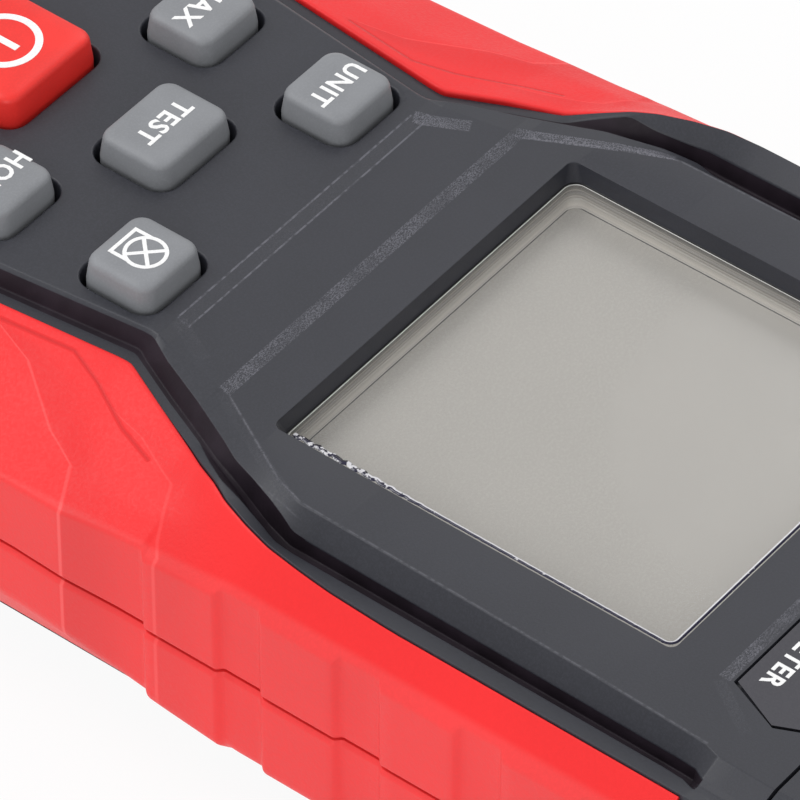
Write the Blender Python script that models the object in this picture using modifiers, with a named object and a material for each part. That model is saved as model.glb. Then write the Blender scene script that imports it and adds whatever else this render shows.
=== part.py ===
# Hand-held laser tachometer, lying on its back.
# X runs across the body, Y from the handle end to the laser end, Z up through the display.
# The origin is under the middle of the body, on the surface that it lies on.
# All sizes are in millimetres and are turned into metres where the meshes are made.

import math

import bmesh
import bpy
from mathutils import Matrix, Vector

MM = 0.001

# Overall body
BODY_LENGTH = 150.0
BODY_HALF = 31.0            # half width between the grip ribs
PANEL_TOP = 30.0            # face round the display
KEYPAD_STEP = 0.45          # keypad face stands this much above the display face
PARTING_HEIGHT = 17.7       # joint between the front and back halves
HANDLE_HALF = 30.0          # half width at the handle end
HANDLE_CORNER = 15.0        # plan radius of the handle's corners
WALL = 2.0                  # housing wall
GRIP_SKIN = 1.6             # soft overmould
SEAM = 0.3                  # visible joint between two mouldings

# Stations along Y
HANDLE_END = -BODY_LENGTH / 2.0
NOSE_END = BODY_LENGTH / 2.0
DISPLAY_Y = 23.0            # middle of the display
GRIP_Y = DISPLAY_Y - 68.0   # widest place of the keypad panel
WAIST_Y = DISPLAY_Y - 31.4
SHOULDER_Y = DISPLAY_Y - 18.2
WIDE_Y = DISPLAY_Y - 12.1
GRIP_STOP_Y = DISPLAY_Y + 27.2
BEND_Y = DISPLAY_Y - 48.0   # the sides start to narrow here toward the handle end
FOLD_Y = DISPLAY_Y - 28.3   # fold in the grip's shoulder
NOSE_SEAM_Y = DISPLAY_Y + 32.2

# Front panel
WAIST_HALF = 16.7           # raised panel at the waist
GRIP_HALF = 20.5            # raised panel at its widest place on the handle
SHOULDER_HALF = 22.6
WIDE_HALF = 24.9            # raised panel beside the display
PANEL_DRAFT = 0.42          # foot of the raised panel stands out by this
LEDGE_WIDTH = 1.65          # strip between the raised panel and the red grip
LEDGE_DROP = 1.65           # raised panel above that strip
REBATE = 0.9                # the grip's inner edge sits this deep below the strip
RIM_HALF = 28.3             # outer edge of the rim beside the display
RIM_TOP = 29.7
GROOVE_FLOOR = 27.2         # groove between panel and rim beside the display
PANEL_EDGE_WIDE = 28.2      # the panel slopes down to this beside the display

# Body sides
SIDE_TOP_WIDE = 26.9        # upper edge of the upright side beside the display
SIDE_TOP_GRIP = 24.4
SIDE_FOOT = 9.8             # lower edge of the upright side beside the display
SIDE_FOOT_GRIP = 12.4
GRIP_FOOT = 4.2             # lower edge of the red grip
GRIP_FOOT_IN = 5.0          # its lower edge stands in from the side by this
BACK_IN = 8.0               # the flat back's edge stands in from the side by this
BACK_EDGE = 3.6             # height where the back's chamfer starts
RIB_PROUD = 0.5
RIB_LENGTH = 6.4
RIB_GAP = 3.4
RIB_RAMP = 0.7
RIB_FIRST = DISPLAY_Y - 17.8
RIB_COUNT = 4

# Display
RECESS_WIDE = 36.4
RECESS_TALL = 36.8
RECESS_CORNER = 2.0
PANE_DEPTH = 1.85           # glass lies this deep below the face
PANE_THICK = 1.5
PANE_CLEAR = 0.3
LIP = 1.6                   # the pane rests on a lip this wide
LIP_THICK = 1.5
LCD_THICK = 2.0
LCD_MARGIN = 0.7            # display glass beyond the lip's opening

# Keys: middle from the display's middle, and size across and along
KEY_ROWS = {
    "key_unit": (-11.7, -36.1, 7.4, 6.9),
    "key_light": (11.7, -36.1, 7.4, 6.9),
    "key_test": (0.0, -43.8, 9.6, 7.3),
    "key_max": (-12.3, -49.9, 7.4, 6.9),
    "key_hold": (12.3, -49.9, 7.4, 6.9),
    "key_power": (0.0, -59.0, 12.4, 10.8),
}
KEY_PROUD = 2.0
POWER_PROUD = 2.4
KEY_CLEAR = 0.35
KEY_CORNER = 1.5
KEY_ROUND = 0.7
KEY_TAPER = 0.35
KEY_TRAVEL = 1.0
KEY_FLANGE = 1.0            # flange under the panel, toward the ends only
FLANGE_THICK = 1.0
STEM_HALF = 1.9

# Electronics
BOARD_THICK = 1.6
BOARD_TOP = 21.0
BOARD_HALF = 18.6
BOARD_START = DISPLAY_Y - 76.0
BOARD_END = DISPLAY_Y + 23.5
SHEET_THICK = 1.0
PAD_HEIGHT = 0.8
BACKLIGHT_THICK = 1.0

# Batteries
CELL_COUNT = 3
CELL_RADIUS = 5.25
CELL_LENGTH = 43.5
CELL_NUB = 0.9
CELL_PITCH = 11.2
BAY_INSET = 11.6            # from the handle end to the battery bay
SPRING_LENGTH = 5.0
CONTACT_THICK = 0.5
BAY_WALL = 1.5
CELL_CLEAR = 0.4
DOOR_THICK = 2.0
DOOR_OVERLAP = 2.2
DOOR_LAP_HANDLE = 3.2       # the door goes past the bay by this at the handle end
DOOR_LAP_KEYS = 3.8         # and by this at its other end
DOOR_CORNER = 8.5
DOOR_TRAVEL = 8.0
TAB_COUNT = 3
TAB_LENGTH = 5.0
TAB_REACH = 1.3
TAB_THICK = 1.0
FIT = 0.3

# Fasteners and optics
BOSS_RADIUS = 2.4
TOWER_RADIUS = 2.7
SCREW_RADIUS = 1.1
SCREW_HEAD = 1.8
SCREW_IN = 9.7              # housing screws stand in from the side by this
SCREW_ROWS = [(-10.0, 24.8), (44.0, 28.6)]     # y and height of the boss
HEAD_SEAT = 6.0             # height that the screw heads bear at
BRACKET_IN = 5.5            # the optics bracket ends this far inside the flat back
LASER_RADIUS = 4.5
LASER_LENGTH = 20.0
LASER_X = 9.5
TUBE_RADIUS = 8.0
TUBE_WALL = 1.2
TUBE_LENGTH = 17.0
TUBE_X = -6.5
OPTICS_Z = 13.6
WINDOW_WIDE = 37.0
WINDOW_TALL = 18.0
WINDOW_THICK = 2.0
WINDOW_LIP = 1.2
NOSE_WALL = 2.0
ARC_STEPS = 5

# Worked out from the values above
KEYPAD_TOP = PANEL_TOP + KEYPAD_STEP
PANEL_UNDER = KEYPAD_TOP - WALL - 0.2
PANE_TOP = PANEL_TOP - PANE_DEPTH
PANE_FLOOR = PANE_TOP - PANE_THICK
LIP_FLOOR = PANE_FLOOR - LIP_THICK
CELL_Z = DOOR_THICK + FIT + CELL_CLEAR + CELL_RADIUS
BAY_HALF = CELL_PITCH * CELL_COUNT / 2.0 + CELL_CLEAR
BAY_LENGTH = CELL_LENGTH + CELL_NUB + SPRING_LENGTH + 2.0 * CONTACT_THICK + 2.0 * FIT
BAY_START = HANDLE_END + BAY_INSET
BAY_END = BAY_START + BAY_LENGTH
DOOR_START = BAY_START - DOOR_LAP_HANDLE
DOOR_END = BAY_END + DOOR_LAP_KEYS
GRIP_FOOT_HALF = BODY_HALF - GRIP_FOOT_IN
BACK_HALF = BODY_HALF - BACK_IN
SCREW_SPOTS = [(BODY_HALF - SCREW_IN, y, top) for y, top in SCREW_ROWS]
BRACKET_HALF = BACK_HALF - BRACKET_IN
BAY_ROOF = CELL_Z + CELL_RADIUS + CELL_CLEAR
SHEET_FLOOR = BOARD_TOP + FIT
STEM_FOOT = SHEET_FLOOR + SHEET_THICK + PAD_HEIGHT + KEY_TRAVEL + FIT


def clear_scene():
    for item in list(bpy.data.objects):
        bpy.data.objects.remove(item, do_unlink=True)
    for item in list(bpy.data.collections):
        bpy.data.collections.remove(item)


def new_collection(name):
    collection = bpy.data.collections.new(name)
    bpy.context.scene.collection.children.link(collection)
    return collection


def material(name, colour, rough, metal=0.0):
    mat = bpy.data.materials.new(name)
    mat.use_nodes = True
    shader = mat.node_tree.nodes["Principled BSDF"]
    shader.inputs["Base Color"].default_value = (*colour, 1.0)
    shader.inputs["Roughness"].default_value = rough
    shader.inputs["Metallic"].default_value = metal
    return mat


def place(mesh_object, mat, collection):
    collection.objects.link(mesh_object)
    if mat:
        mesh_object.data.materials.append(mat)
    return mesh_object


def from_bmesh(name, bm, mat=None, collection=None, at=(0.0, 0.0, 0.0)):
    """Write a bmesh, in millimetres round its own origin, as an object standing at a point."""
    bmesh.ops.recalc_face_normals(bm, faces=bm.faces)
    bmesh.ops.scale(bm, vec=(MM, MM, MM), verts=bm.verts)
    mesh = bpy.data.meshes.new(name)
    bm.to_mesh(mesh)
    bm.free()
    item = bpy.data.objects.new(name, mesh)
    item.location = Vector(at) * MM
    return place(item, mat, collection or CUTTERS)


def cutter(item):
    item.hide_render = True
    item.display_type = "WIRE"
    return item


def boolean(target, tool, operation):
    mod = target.modifiers.new(operation.title() + " " + tool.name, "BOOLEAN")
    mod.operation = operation
    mod.solver = "EXACT"
    mod.object = tool
    cutter(tool)
    return target


def cut(target, *tools):
    for tool in tools:
        boolean(target, tool, "DIFFERENCE")


def weld(target, *tools):
    for tool in tools:
        boolean(target, tool, "UNION")


def round_edges(item, radius, segments=2, angle=40.0):
    mod = item.modifiers.new("Rounded edges", "BEVEL")
    mod.width = radius * MM
    mod.segments = segments
    mod.limit_method = "ANGLE"
    mod.angle_limit = math.radians(angle)
    return item


def box(name, low, high, mat=None, collection=None):
    """A block from one corner to the opposite one, with its origin in its middle."""
    low, high = Vector(low), Vector(high)
    bm = bmesh.new()
    bmesh.ops.create_cube(bm, size=1.0)
    bmesh.ops.scale(bm, vec=high - low, verts=bm.verts)
    return from_bmesh(name, bm, mat, collection, (low + high) / 2.0)


def rod(name, radius, start, end, mat=None, collection=None, sides=24, end_radius=None):
    """A round bar or cone between two points."""
    start, end = Vector(start), Vector(end)
    axis = end - start
    bm = bmesh.new()
    bmesh.ops.create_cone(bm, cap_ends=True, segments=sides, radius1=radius,
                          radius2=radius if end_radius is None else end_radius,
                          depth=axis.length)
    bmesh.ops.rotate(bm, verts=bm.verts, matrix=axis.to_track_quat("Z", "Y").to_matrix())
    item = from_bmesh(name, bm, mat, collection, (start + end) / 2.0)
    item.data.shade_smooth()
    item.data.set_sharp_from_angle(angle=math.radians(35.0))
    return item


def turned(name, profile, at, axis, mat=None, collection=None, steps=24):
    """A turned piece: the profile's (radius, height) points run down its outer side."""
    bm = bmesh.new()
    points = [bm.verts.new((r, 0.0, z)) for r, z in profile]
    for a, b in zip(points, points[1:]):
        bm.edges.new((a, b))
    item = from_bmesh(name, bm, mat, collection, at)
    item.rotation_mode = "QUATERNION"
    item.rotation_quaternion = Vector(axis).to_track_quat("Z", "Y")
    mod = item.modifiers.new("Turned", "SCREW")
    mod.steps = steps
    mod.render_steps = steps
    mod.use_merge_vertices = True
    mod.merge_threshold = 0.00001
    mod.use_smooth_shade = True
    return item


def rounded_outline(wide, tall, corner, steps=3):
    """Corners of a rounded rectangle round the origin, anticlockwise."""
    corner = min(corner, wide / 2.0 - 0.01, tall / 2.0 - 0.01)
    points = []
    for quarter, (sx, sy) in enumerate(((1, 1), (-1, 1), (-1, -1), (1, -1))):
        for step in range(steps + 1):
            turn = math.radians(90.0) * (quarter + step / steps)
            points.append((sx * (wide / 2.0 - corner) + corner * math.cos(turn),
                           sy * (tall / 2.0 - corner) + corner * math.sin(turn)))
    return points


def skin(bm, corners):
    """A flat quad, or two triangles that meet on the diagonal rising toward the nose.

    One rule for every skin keeps the gap between a grip and its housing even where they twist.
    """
    p = [corner.co for corner in corners]
    across = (p[1] - p[0]).cross(p[2] - p[0])
    if across.length > 1e-9 and abs(across.normalized().dot(p[3] - p[0])) < 0.001:
        bm.faces.new(corners)
        return
    rise = (p[2].z - p[0].z) * (p[2].y - p[0].y)
    other = (p[3].z - p[1].z) * (p[3].y - p[1].y)
    a, b, c, d = corners if rise >= other else (*corners[1:], corners[0])
    bm.faces.new((a, b, c))
    bm.faces.new((a, c, d))


def loft(bm, loops, close_ends=True):
    """Join closed loops of equal length into a skin, with a face over each end."""
    rows = [[bm.verts.new(point) for point in loop] for loop in loops]
    for a, b in zip(rows, rows[1:]):
        for i in range(len(a)):
            j = (i + 1) % len(a)
            skin(bm, (a[i], a[j], b[j], b[i]))
    if close_ends:
        bm.faces.new(rows[0])
        bm.faces.new(rows[-1])
    return rows


def stacked(name, layers, mat=None, collection=None, at=(0.0, 0.0, 0.0), steps=3):
    """Rounded rectangles stacked along Z: each layer is (wide, tall, corner, height)."""
    bm = bmesh.new()
    loft(bm, [[(x, y, z) for x, y in rounded_outline(wide, tall, corner, steps)]
              for wide, tall, corner, z in layers])
    return from_bmesh(name, bm, mat, collection, at)


def between(table, y):
    """Half width and height of a contour at y, straight between its (y, half, height) rows."""
    if y <= table[0][0]:
        return table[0][1:]
    for (y0, h0, z0), (y1, h1, z1) in zip(table, table[1:]):
        if y <= y1:
            t = (y - y0) / (y1 - y0)
            return h0 + (h1 - h0) * t, z0 + (z1 - z0) * t
    return table[-1][1:]


def ring(table, end_y, corner, stations):
    """One closed contour of the body: round the handle end, up the right side, down the left."""
    half, height = between(table, table[0][0])
    right = []
    for step in range(ARC_STEPS + 1):
        turn = math.radians(90.0) * step / ARC_STEPS
        right.append((half - corner + corner * math.sin(turn),
                      end_y + corner - corner * math.cos(turn), height))
    for y in stations:
        half, height = between(table, y)
        right.append((half, y, height))
    return right + [(-x, y, z) for x, y, z in reversed(right)]


def hollow(name, outer, inner, mat):
    """A moulded shell between two stacks of rings, open where the two stacks start."""
    bm = bmesh.new()
    skins = [loft(bm, rings, close_ends=False) for rings in (outer, inner)]
    for rows in skins:
        bm.faces.new(rows[-1])
    a, b = skins[0][0], skins[1][0]
    for i in range(len(a)):
        j = (i + 1) % len(a)
        bm.faces.new((a[i], a[j], b[j], b[i]))
    return from_bmesh(name, bm, mat, PARTS)


# Contours of the body, each a table of (y, half width, height) from the handle to the nose.
# Just before and just after GRIP_STOP_Y the hard housing comes out to the grip's surface.
BEFORE = GRIP_STOP_Y - SEAM / 2.0
AFTER = GRIP_STOP_Y + SEAM / 2.0

PANEL_CREASE = [
    (GRIP_Y, GRIP_HALF - 0.25, KEYPAD_TOP), (WAIST_Y, WAIST_HALF - 0.25, KEYPAD_TOP),
    (DISPLAY_Y - 23.7, 17.7, KEYPAD_TOP), (DISPLAY_Y - 14.6, 22.0, KEYPAD_TOP),
    (WIDE_Y, 22.9, KEYPAD_TOP), (GRIP_STOP_Y, 24.3, KEYPAD_TOP),
    (NOSE_SEAM_Y, 24.6, KEYPAD_TOP)]
PANEL_EDGE = [
    (GRIP_Y, GRIP_HALF, KEYPAD_TOP - 0.25), (WAIST_Y, WAIST_HALF, KEYPAD_TOP - 0.25),
    (SHOULDER_Y, SHOULDER_HALF, PANEL_TOP - 0.9), (WIDE_Y, WIDE_HALF - 0.2, PANEL_EDGE_WIDE),
    (BEFORE - 1.2, WIDE_HALF, PANEL_EDGE_WIDE), (AFTER, RIM_HALF - 1.9, PANEL_EDGE_WIDE + 0.2),
    (NOSE_SEAM_Y, RIM_HALF - 1.7, PANEL_EDGE_WIDE + 0.2)]
GROOVE_INNER = [
    (GRIP_Y, GRIP_HALF + PANEL_DRAFT, KEYPAD_TOP - LEDGE_DROP),
    (WAIST_Y, WAIST_HALF + PANEL_DRAFT, KEYPAD_TOP - LEDGE_DROP),
    (SHOULDER_Y, SHOULDER_HALF + PANEL_DRAFT, GROOVE_FLOOR + 0.6),
    (WIDE_Y, WIDE_HALF + PANEL_DRAFT - 0.2, GROOVE_FLOOR),
    (BEFORE - 1.2, WIDE_HALF + PANEL_DRAFT, GROOVE_FLOOR),
    (AFTER, RIM_HALF - 1.4, PANEL_EDGE_WIDE + 0.4),
    (NOSE_SEAM_Y, RIM_HALF - 1.2, PANEL_EDGE_WIDE + 0.4)]
GROOVE_OUTER = [
    (GRIP_Y, GRIP_HALF + PANEL_DRAFT + 0.5, KEYPAD_TOP - LEDGE_DROP),
    (WAIST_Y, WAIST_HALF + PANEL_DRAFT + 0.5, KEYPAD_TOP - LEDGE_DROP),
    (SHOULDER_Y, SHOULDER_HALF + PANEL_DRAFT + 0.9, GROOVE_FLOOR + 0.6),
    (WIDE_Y, WIDE_HALF + 1.4, GROOVE_FLOOR),
    (BEFORE - 1.2, WIDE_HALF + 1.5, GROOVE_FLOOR), (AFTER, RIM_HALF - 0.8, PANEL_EDGE_WIDE + 0.7),
    (NOSE_SEAM_Y, RIM_HALF - 0.6, PANEL_EDGE_WIDE + 0.7)]
RIM_INNER = [
    (GRIP_Y, GRIP_HALF + PANEL_DRAFT + 0.8, KEYPAD_TOP - LEDGE_DROP),
    (WAIST_Y, WAIST_HALF + PANEL_DRAFT + 0.8, KEYPAD_TOP - LEDGE_DROP),
    (SHOULDER_Y, SHOULDER_HALF + PANEL_DRAFT + 1.5, KEYPAD_TOP - LEDGE_DROP),
    (WIDE_Y, WIDE_HALF + 2.0, RIM_TOP - 0.7),
    (BEFORE - 1.2, WIDE_HALF + 2.2, RIM_TOP - 0.7), (AFTER, RIM_HALF - 0.3, RIM_TOP - 0.6),
    (NOSE_SEAM_Y, RIM_HALF - 0.2, RIM_TOP - 0.6)]
RIM_OUTER = [
    (GRIP_Y, GRIP_HALF + PANEL_DRAFT + LEDGE_WIDTH, KEYPAD_TOP - LEDGE_DROP),
    (WAIST_Y, WAIST_HALF + PANEL_DRAFT + LEDGE_WIDTH, KEYPAD_TOP - LEDGE_DROP),
    (SHOULDER_Y, SHOULDER_HALF + PANEL_DRAFT + LEDGE_WIDTH + 0.7, KEYPAD_TOP - LEDGE_DROP + 0.3),
    (WIDE_Y, RIM_HALF - 0.6, RIM_TOP - 0.2), (WIDE_Y + 3.0, RIM_HALF, RIM_TOP),
    (NOSE_SEAM_Y, RIM_HALF, RIM_TOP)]
REBATE_FLOOR = ([(y, half, z - REBATE) for y, half, z in RIM_OUTER[:-1]]
                + [(BEFORE, RIM_HALF, RIM_TOP - REBATE), (AFTER, RIM_HALF + 0.5, RIM_TOP - 0.4),
                   (NOSE_SEAM_Y, RIM_HALF + 0.5, RIM_TOP - 0.4)])
GRIP_INNER = [(y, half + SEAM + 0.5, z + 1.0) for y, half, z in RIM_OUTER[:3]] + [
    (WIDE_Y, RIM_HALF - 0.6 + SEAM, RIM_TOP + 0.2), (WIDE_Y + 3.0, RIM_HALF + SEAM, RIM_TOP - 0.1),
    (NOSE_SEAM_Y, RIM_HALF + SEAM, RIM_TOP - 0.1)]
SIDE_TOP = [
    (GRIP_Y, HANDLE_HALF, SIDE_TOP_GRIP - 1.0), (BEND_Y, BODY_HALF, SIDE_TOP_GRIP - 0.5),
    (FOLD_Y, BODY_HALF, SIDE_TOP_GRIP + 0.6), (DISPLAY_Y - 19.0, BODY_HALF, SIDE_TOP_WIDE - 0.8),
    (WIDE_Y, BODY_HALF, SIDE_TOP_WIDE - 0.2), (NOSE_SEAM_Y, BODY_HALF, SIDE_TOP_WIDE)]
SIDE_PLAN = [(GRIP_Y, HANDLE_HALF), (BEND_Y, BODY_HALF), (NOSE_SEAM_Y, BODY_HALF)]
FOOT_LINE = [
    (GRIP_Y, HANDLE_HALF, SIDE_FOOT_GRIP), (BEND_Y, BODY_HALF, SIDE_FOOT_GRIP + 0.2),
    (FOLD_Y, BODY_HALF, SIDE_FOOT_GRIP - 0.3), (DISPLAY_Y - 19.0, BODY_HALF, SIDE_FOOT + 0.8),
    (WIDE_Y, BODY_HALF, SIDE_FOOT), (NOSE_SEAM_Y, BODY_HALF, SIDE_FOOT)]
UNDER_SKIN = GRIP_SKIN + SEAM


def level(height, extra=0.0, after=0.0):
    """A side contour at one height: extra is taken off under the grip, after past its end."""
    rows = [(y, half - extra, height) for y, half in SIDE_PLAN[:-1]]
    half = SIDE_PLAN[-1][1]
    return rows + [(BEFORE, half - extra, height), (AFTER, half - after, height),
                   (NOSE_SEAM_Y, half - after, height)]


def foot_line(extra=0.0, after=0.0, lift=0.0):
    """The contour along the lower edge of the upright sides, taken in like a level."""
    rows = [(y, half - extra, z + lift) for y, half, z in FOOT_LINE[:-1]]
    return rows + [(BEFORE, BODY_HALF - extra, SIDE_FOOT + lift),
                   (AFTER, BODY_HALF - after, SIDE_FOOT + lift),
                   (NOSE_SEAM_Y, BODY_HALF - after, SIDE_FOOT + lift)]


def build_front_housing():
    stations = [GRIP_Y, BEND_Y, WAIST_Y, FOLD_Y, DISPLAY_Y - 23.7, DISPLAY_Y - 19.0,
                SHOULDER_Y, DISPLAY_Y - 14.6, WIDE_Y, WIDE_Y + 3.0, BEFORE - 1.2, BEFORE, AFTER,
                NOSE_SEAM_Y]
    side_top = [(y, half - UNDER_SKIN, z - GRIP_SKIN) for y, half, z in SIDE_TOP[:-1]] + [
        (BEFORE, BODY_HALF - UNDER_SKIN, SIDE_TOP_WIDE - GRIP_SKIN),
        (AFTER, BODY_HALF, SIDE_TOP_WIDE), (NOSE_SEAM_Y, BODY_HALF, SIDE_TOP_WIDE)]
    floor = PARTING_HEIGHT + SEAM / 2.0
    outer = [
        ring(level(floor, UNDER_SKIN), HANDLE_END + UNDER_SKIN, HANDLE_CORNER - UNDER_SKIN, stations),
        ring(side_top, HANDLE_END + UNDER_SKIN, HANDLE_CORNER - UNDER_SKIN, stations),
        ring(REBATE_FLOOR, HANDLE_END + 8.0, 11.0, stations),
        ring(RIM_OUTER, HANDLE_END + 8.0, 11.0, stations),
        ring(RIM_INNER, HANDLE_END + 8.9, 10.2, stations),
        ring(GROOVE_OUTER, HANDLE_END + 9.2, 10.0, stations),
        ring(GROOVE_INNER, HANDLE_END + 9.7, 9.8, stations),
        ring(PANEL_EDGE, HANDLE_END + 10.1, 9.4, stations),
        ring(PANEL_CREASE, HANDLE_END + 10.4, 9.1, stations),
    ]
    inside = HANDLE_END + UNDER_SKIN + WALL
    low_roof = [(y, half - 1.1, z - 1.6) for y, half, z in GROOVE_INNER]
    inner = [
        ring(level(floor, UNDER_SKIN + WALL, WALL), inside, HANDLE_CORNER - UNDER_SKIN - WALL,
             stations),
        ring([(y, half - WALL, z - 1.4) for y, half, z in side_top], inside,
             HANDLE_CORNER - UNDER_SKIN - WALL, stations),
        ring([(y, half - 0.9, z - 2.5) for y, half, z in REBATE_FLOOR], HANDLE_END + 9.6, 9.6,
             stations),
        ring(low_roof, HANDLE_END + 11.0, 9.0, stations),
        ring([(y, half - 0.7, PANEL_UNDER) for y, half, z in low_roof], HANDLE_END + 11.6, 8.6,
             stations),
    ]
    for loop in inner:
        for i, (x, y, z) in enumerate(loop):
            loop[i] = (x, min(y, NOSE_SEAM_Y - WALL), z)
    housing = hollow("front_housing", outer, inner, HARD_BLACK)

    # The keypad face steps down to the display face in two sloping bands.
    for name, y, height in (("band_lower", DISPLAY_Y - 30.8, PANEL_TOP + KEYPAD_STEP / 2.0),
                            ("band_upper", DISPLAY_Y - 23.9, PANEL_TOP)):
        bm = bmesh.new()
        back, front, top = y, NOSE_SEAM_Y + 5.0, KEYPAD_TOP + 3.0
        loft(bm, [[(x, back, KEYPAD_TOP + 0.05), (x, back + 1.1, height), (x, front, height),
                   (x, front, top), (x, back, top)] for x in (-BODY_HALF, BODY_HALF)])
        cut(housing, from_bmesh(name, bm))

    weld(housing, stacked("display_collar", [
        (RECESS_WIDE + 3.0, RECESS_TALL + 3.0, RECESS_CORNER + 1.5, LIP_FLOOR),
        (RECESS_WIDE + 3.0, RECESS_TALL + 3.0, RECESS_CORNER + 1.5, PANEL_UNDER + 0.8)],
        at=(0.0, DISPLAY_Y, 0.0)))
    cut(housing,
        stacked("display_recess", [
            (RECESS_WIDE - 0.4, RECESS_TALL - 0.4, RECESS_CORNER, PANE_FLOOR - FIT),
            (RECESS_WIDE - 0.4, RECESS_TALL - 0.4, RECESS_CORNER, PANE_TOP - 0.2),
            (RECESS_WIDE, RECESS_TALL, RECESS_CORNER, PANEL_TOP),
            (RECESS_WIDE, RECESS_TALL, RECESS_CORNER, KEYPAD_TOP + 1.0)],
            at=(0.0, DISPLAY_Y, 0.0)),
        stacked("display_opening", [
            (RECESS_WIDE - 2 * LIP, RECESS_TALL - 2 * LIP, RECESS_CORNER, LIP_FLOOR - 1.0),
            (RECESS_WIDE - 2 * LIP, RECESS_TALL - 2 * LIP, RECESS_CORNER, PANE_FLOOR + 1.0)],
            at=(0.0, DISPLAY_Y, 0.0)))
    for name, (x, y, wide, tall) in KEY_ROWS.items():
        size = (wide + 2 * KEY_CLEAR, tall + 2 * KEY_CLEAR, KEY_CORNER + KEY_CLEAR)
        cut(housing, stacked(name + "_hole", [(*size, PANEL_UNDER - 2.0), (*size, KEYPAD_TOP + 2.0)],
                             at=(x, DISPLAY_Y + y, 0.0)))
    for side in (-1, 1):
        for i, (x, y, boss_top) in enumerate(SCREW_SPOTS):
            tag = "_%d_%d" % (side, i)
            weld(housing, rod("boss" + tag, BOSS_RADIUS, (side * x, y, floor + 0.2),
                              (side * x, y, boss_top), sides=16))
            cut(housing, rod("pilot" + tag, SCREW_RADIUS - 0.1, (side * x, y, floor - 1.0),
                             (side * x, y, floor + 5.0), sides=12))
    cut(housing, nose_passage("front_passage"))
    for side in (-1, 1):
        weld(housing, box("front_clip_%d" % side, (side * 14.0 - 3.5, NOSE_SEAM_Y - 1.0, 24.6),
                          (side * 14.0 + 3.5, NOSE_SEAM_Y + 4.0, 26.2)))
    return housing


def nose_passage(name):
    """Opening in the end wall that the optics pass through."""
    return box(name, (-19.0, NOSE_SEAM_Y - WALL - 3.0, OPTICS_Z - TUBE_RADIUS - 0.4),
               (19.0, NOSE_SEAM_Y + 3.0, OPTICS_Z + TUBE_RADIUS + 2.0))


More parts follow.
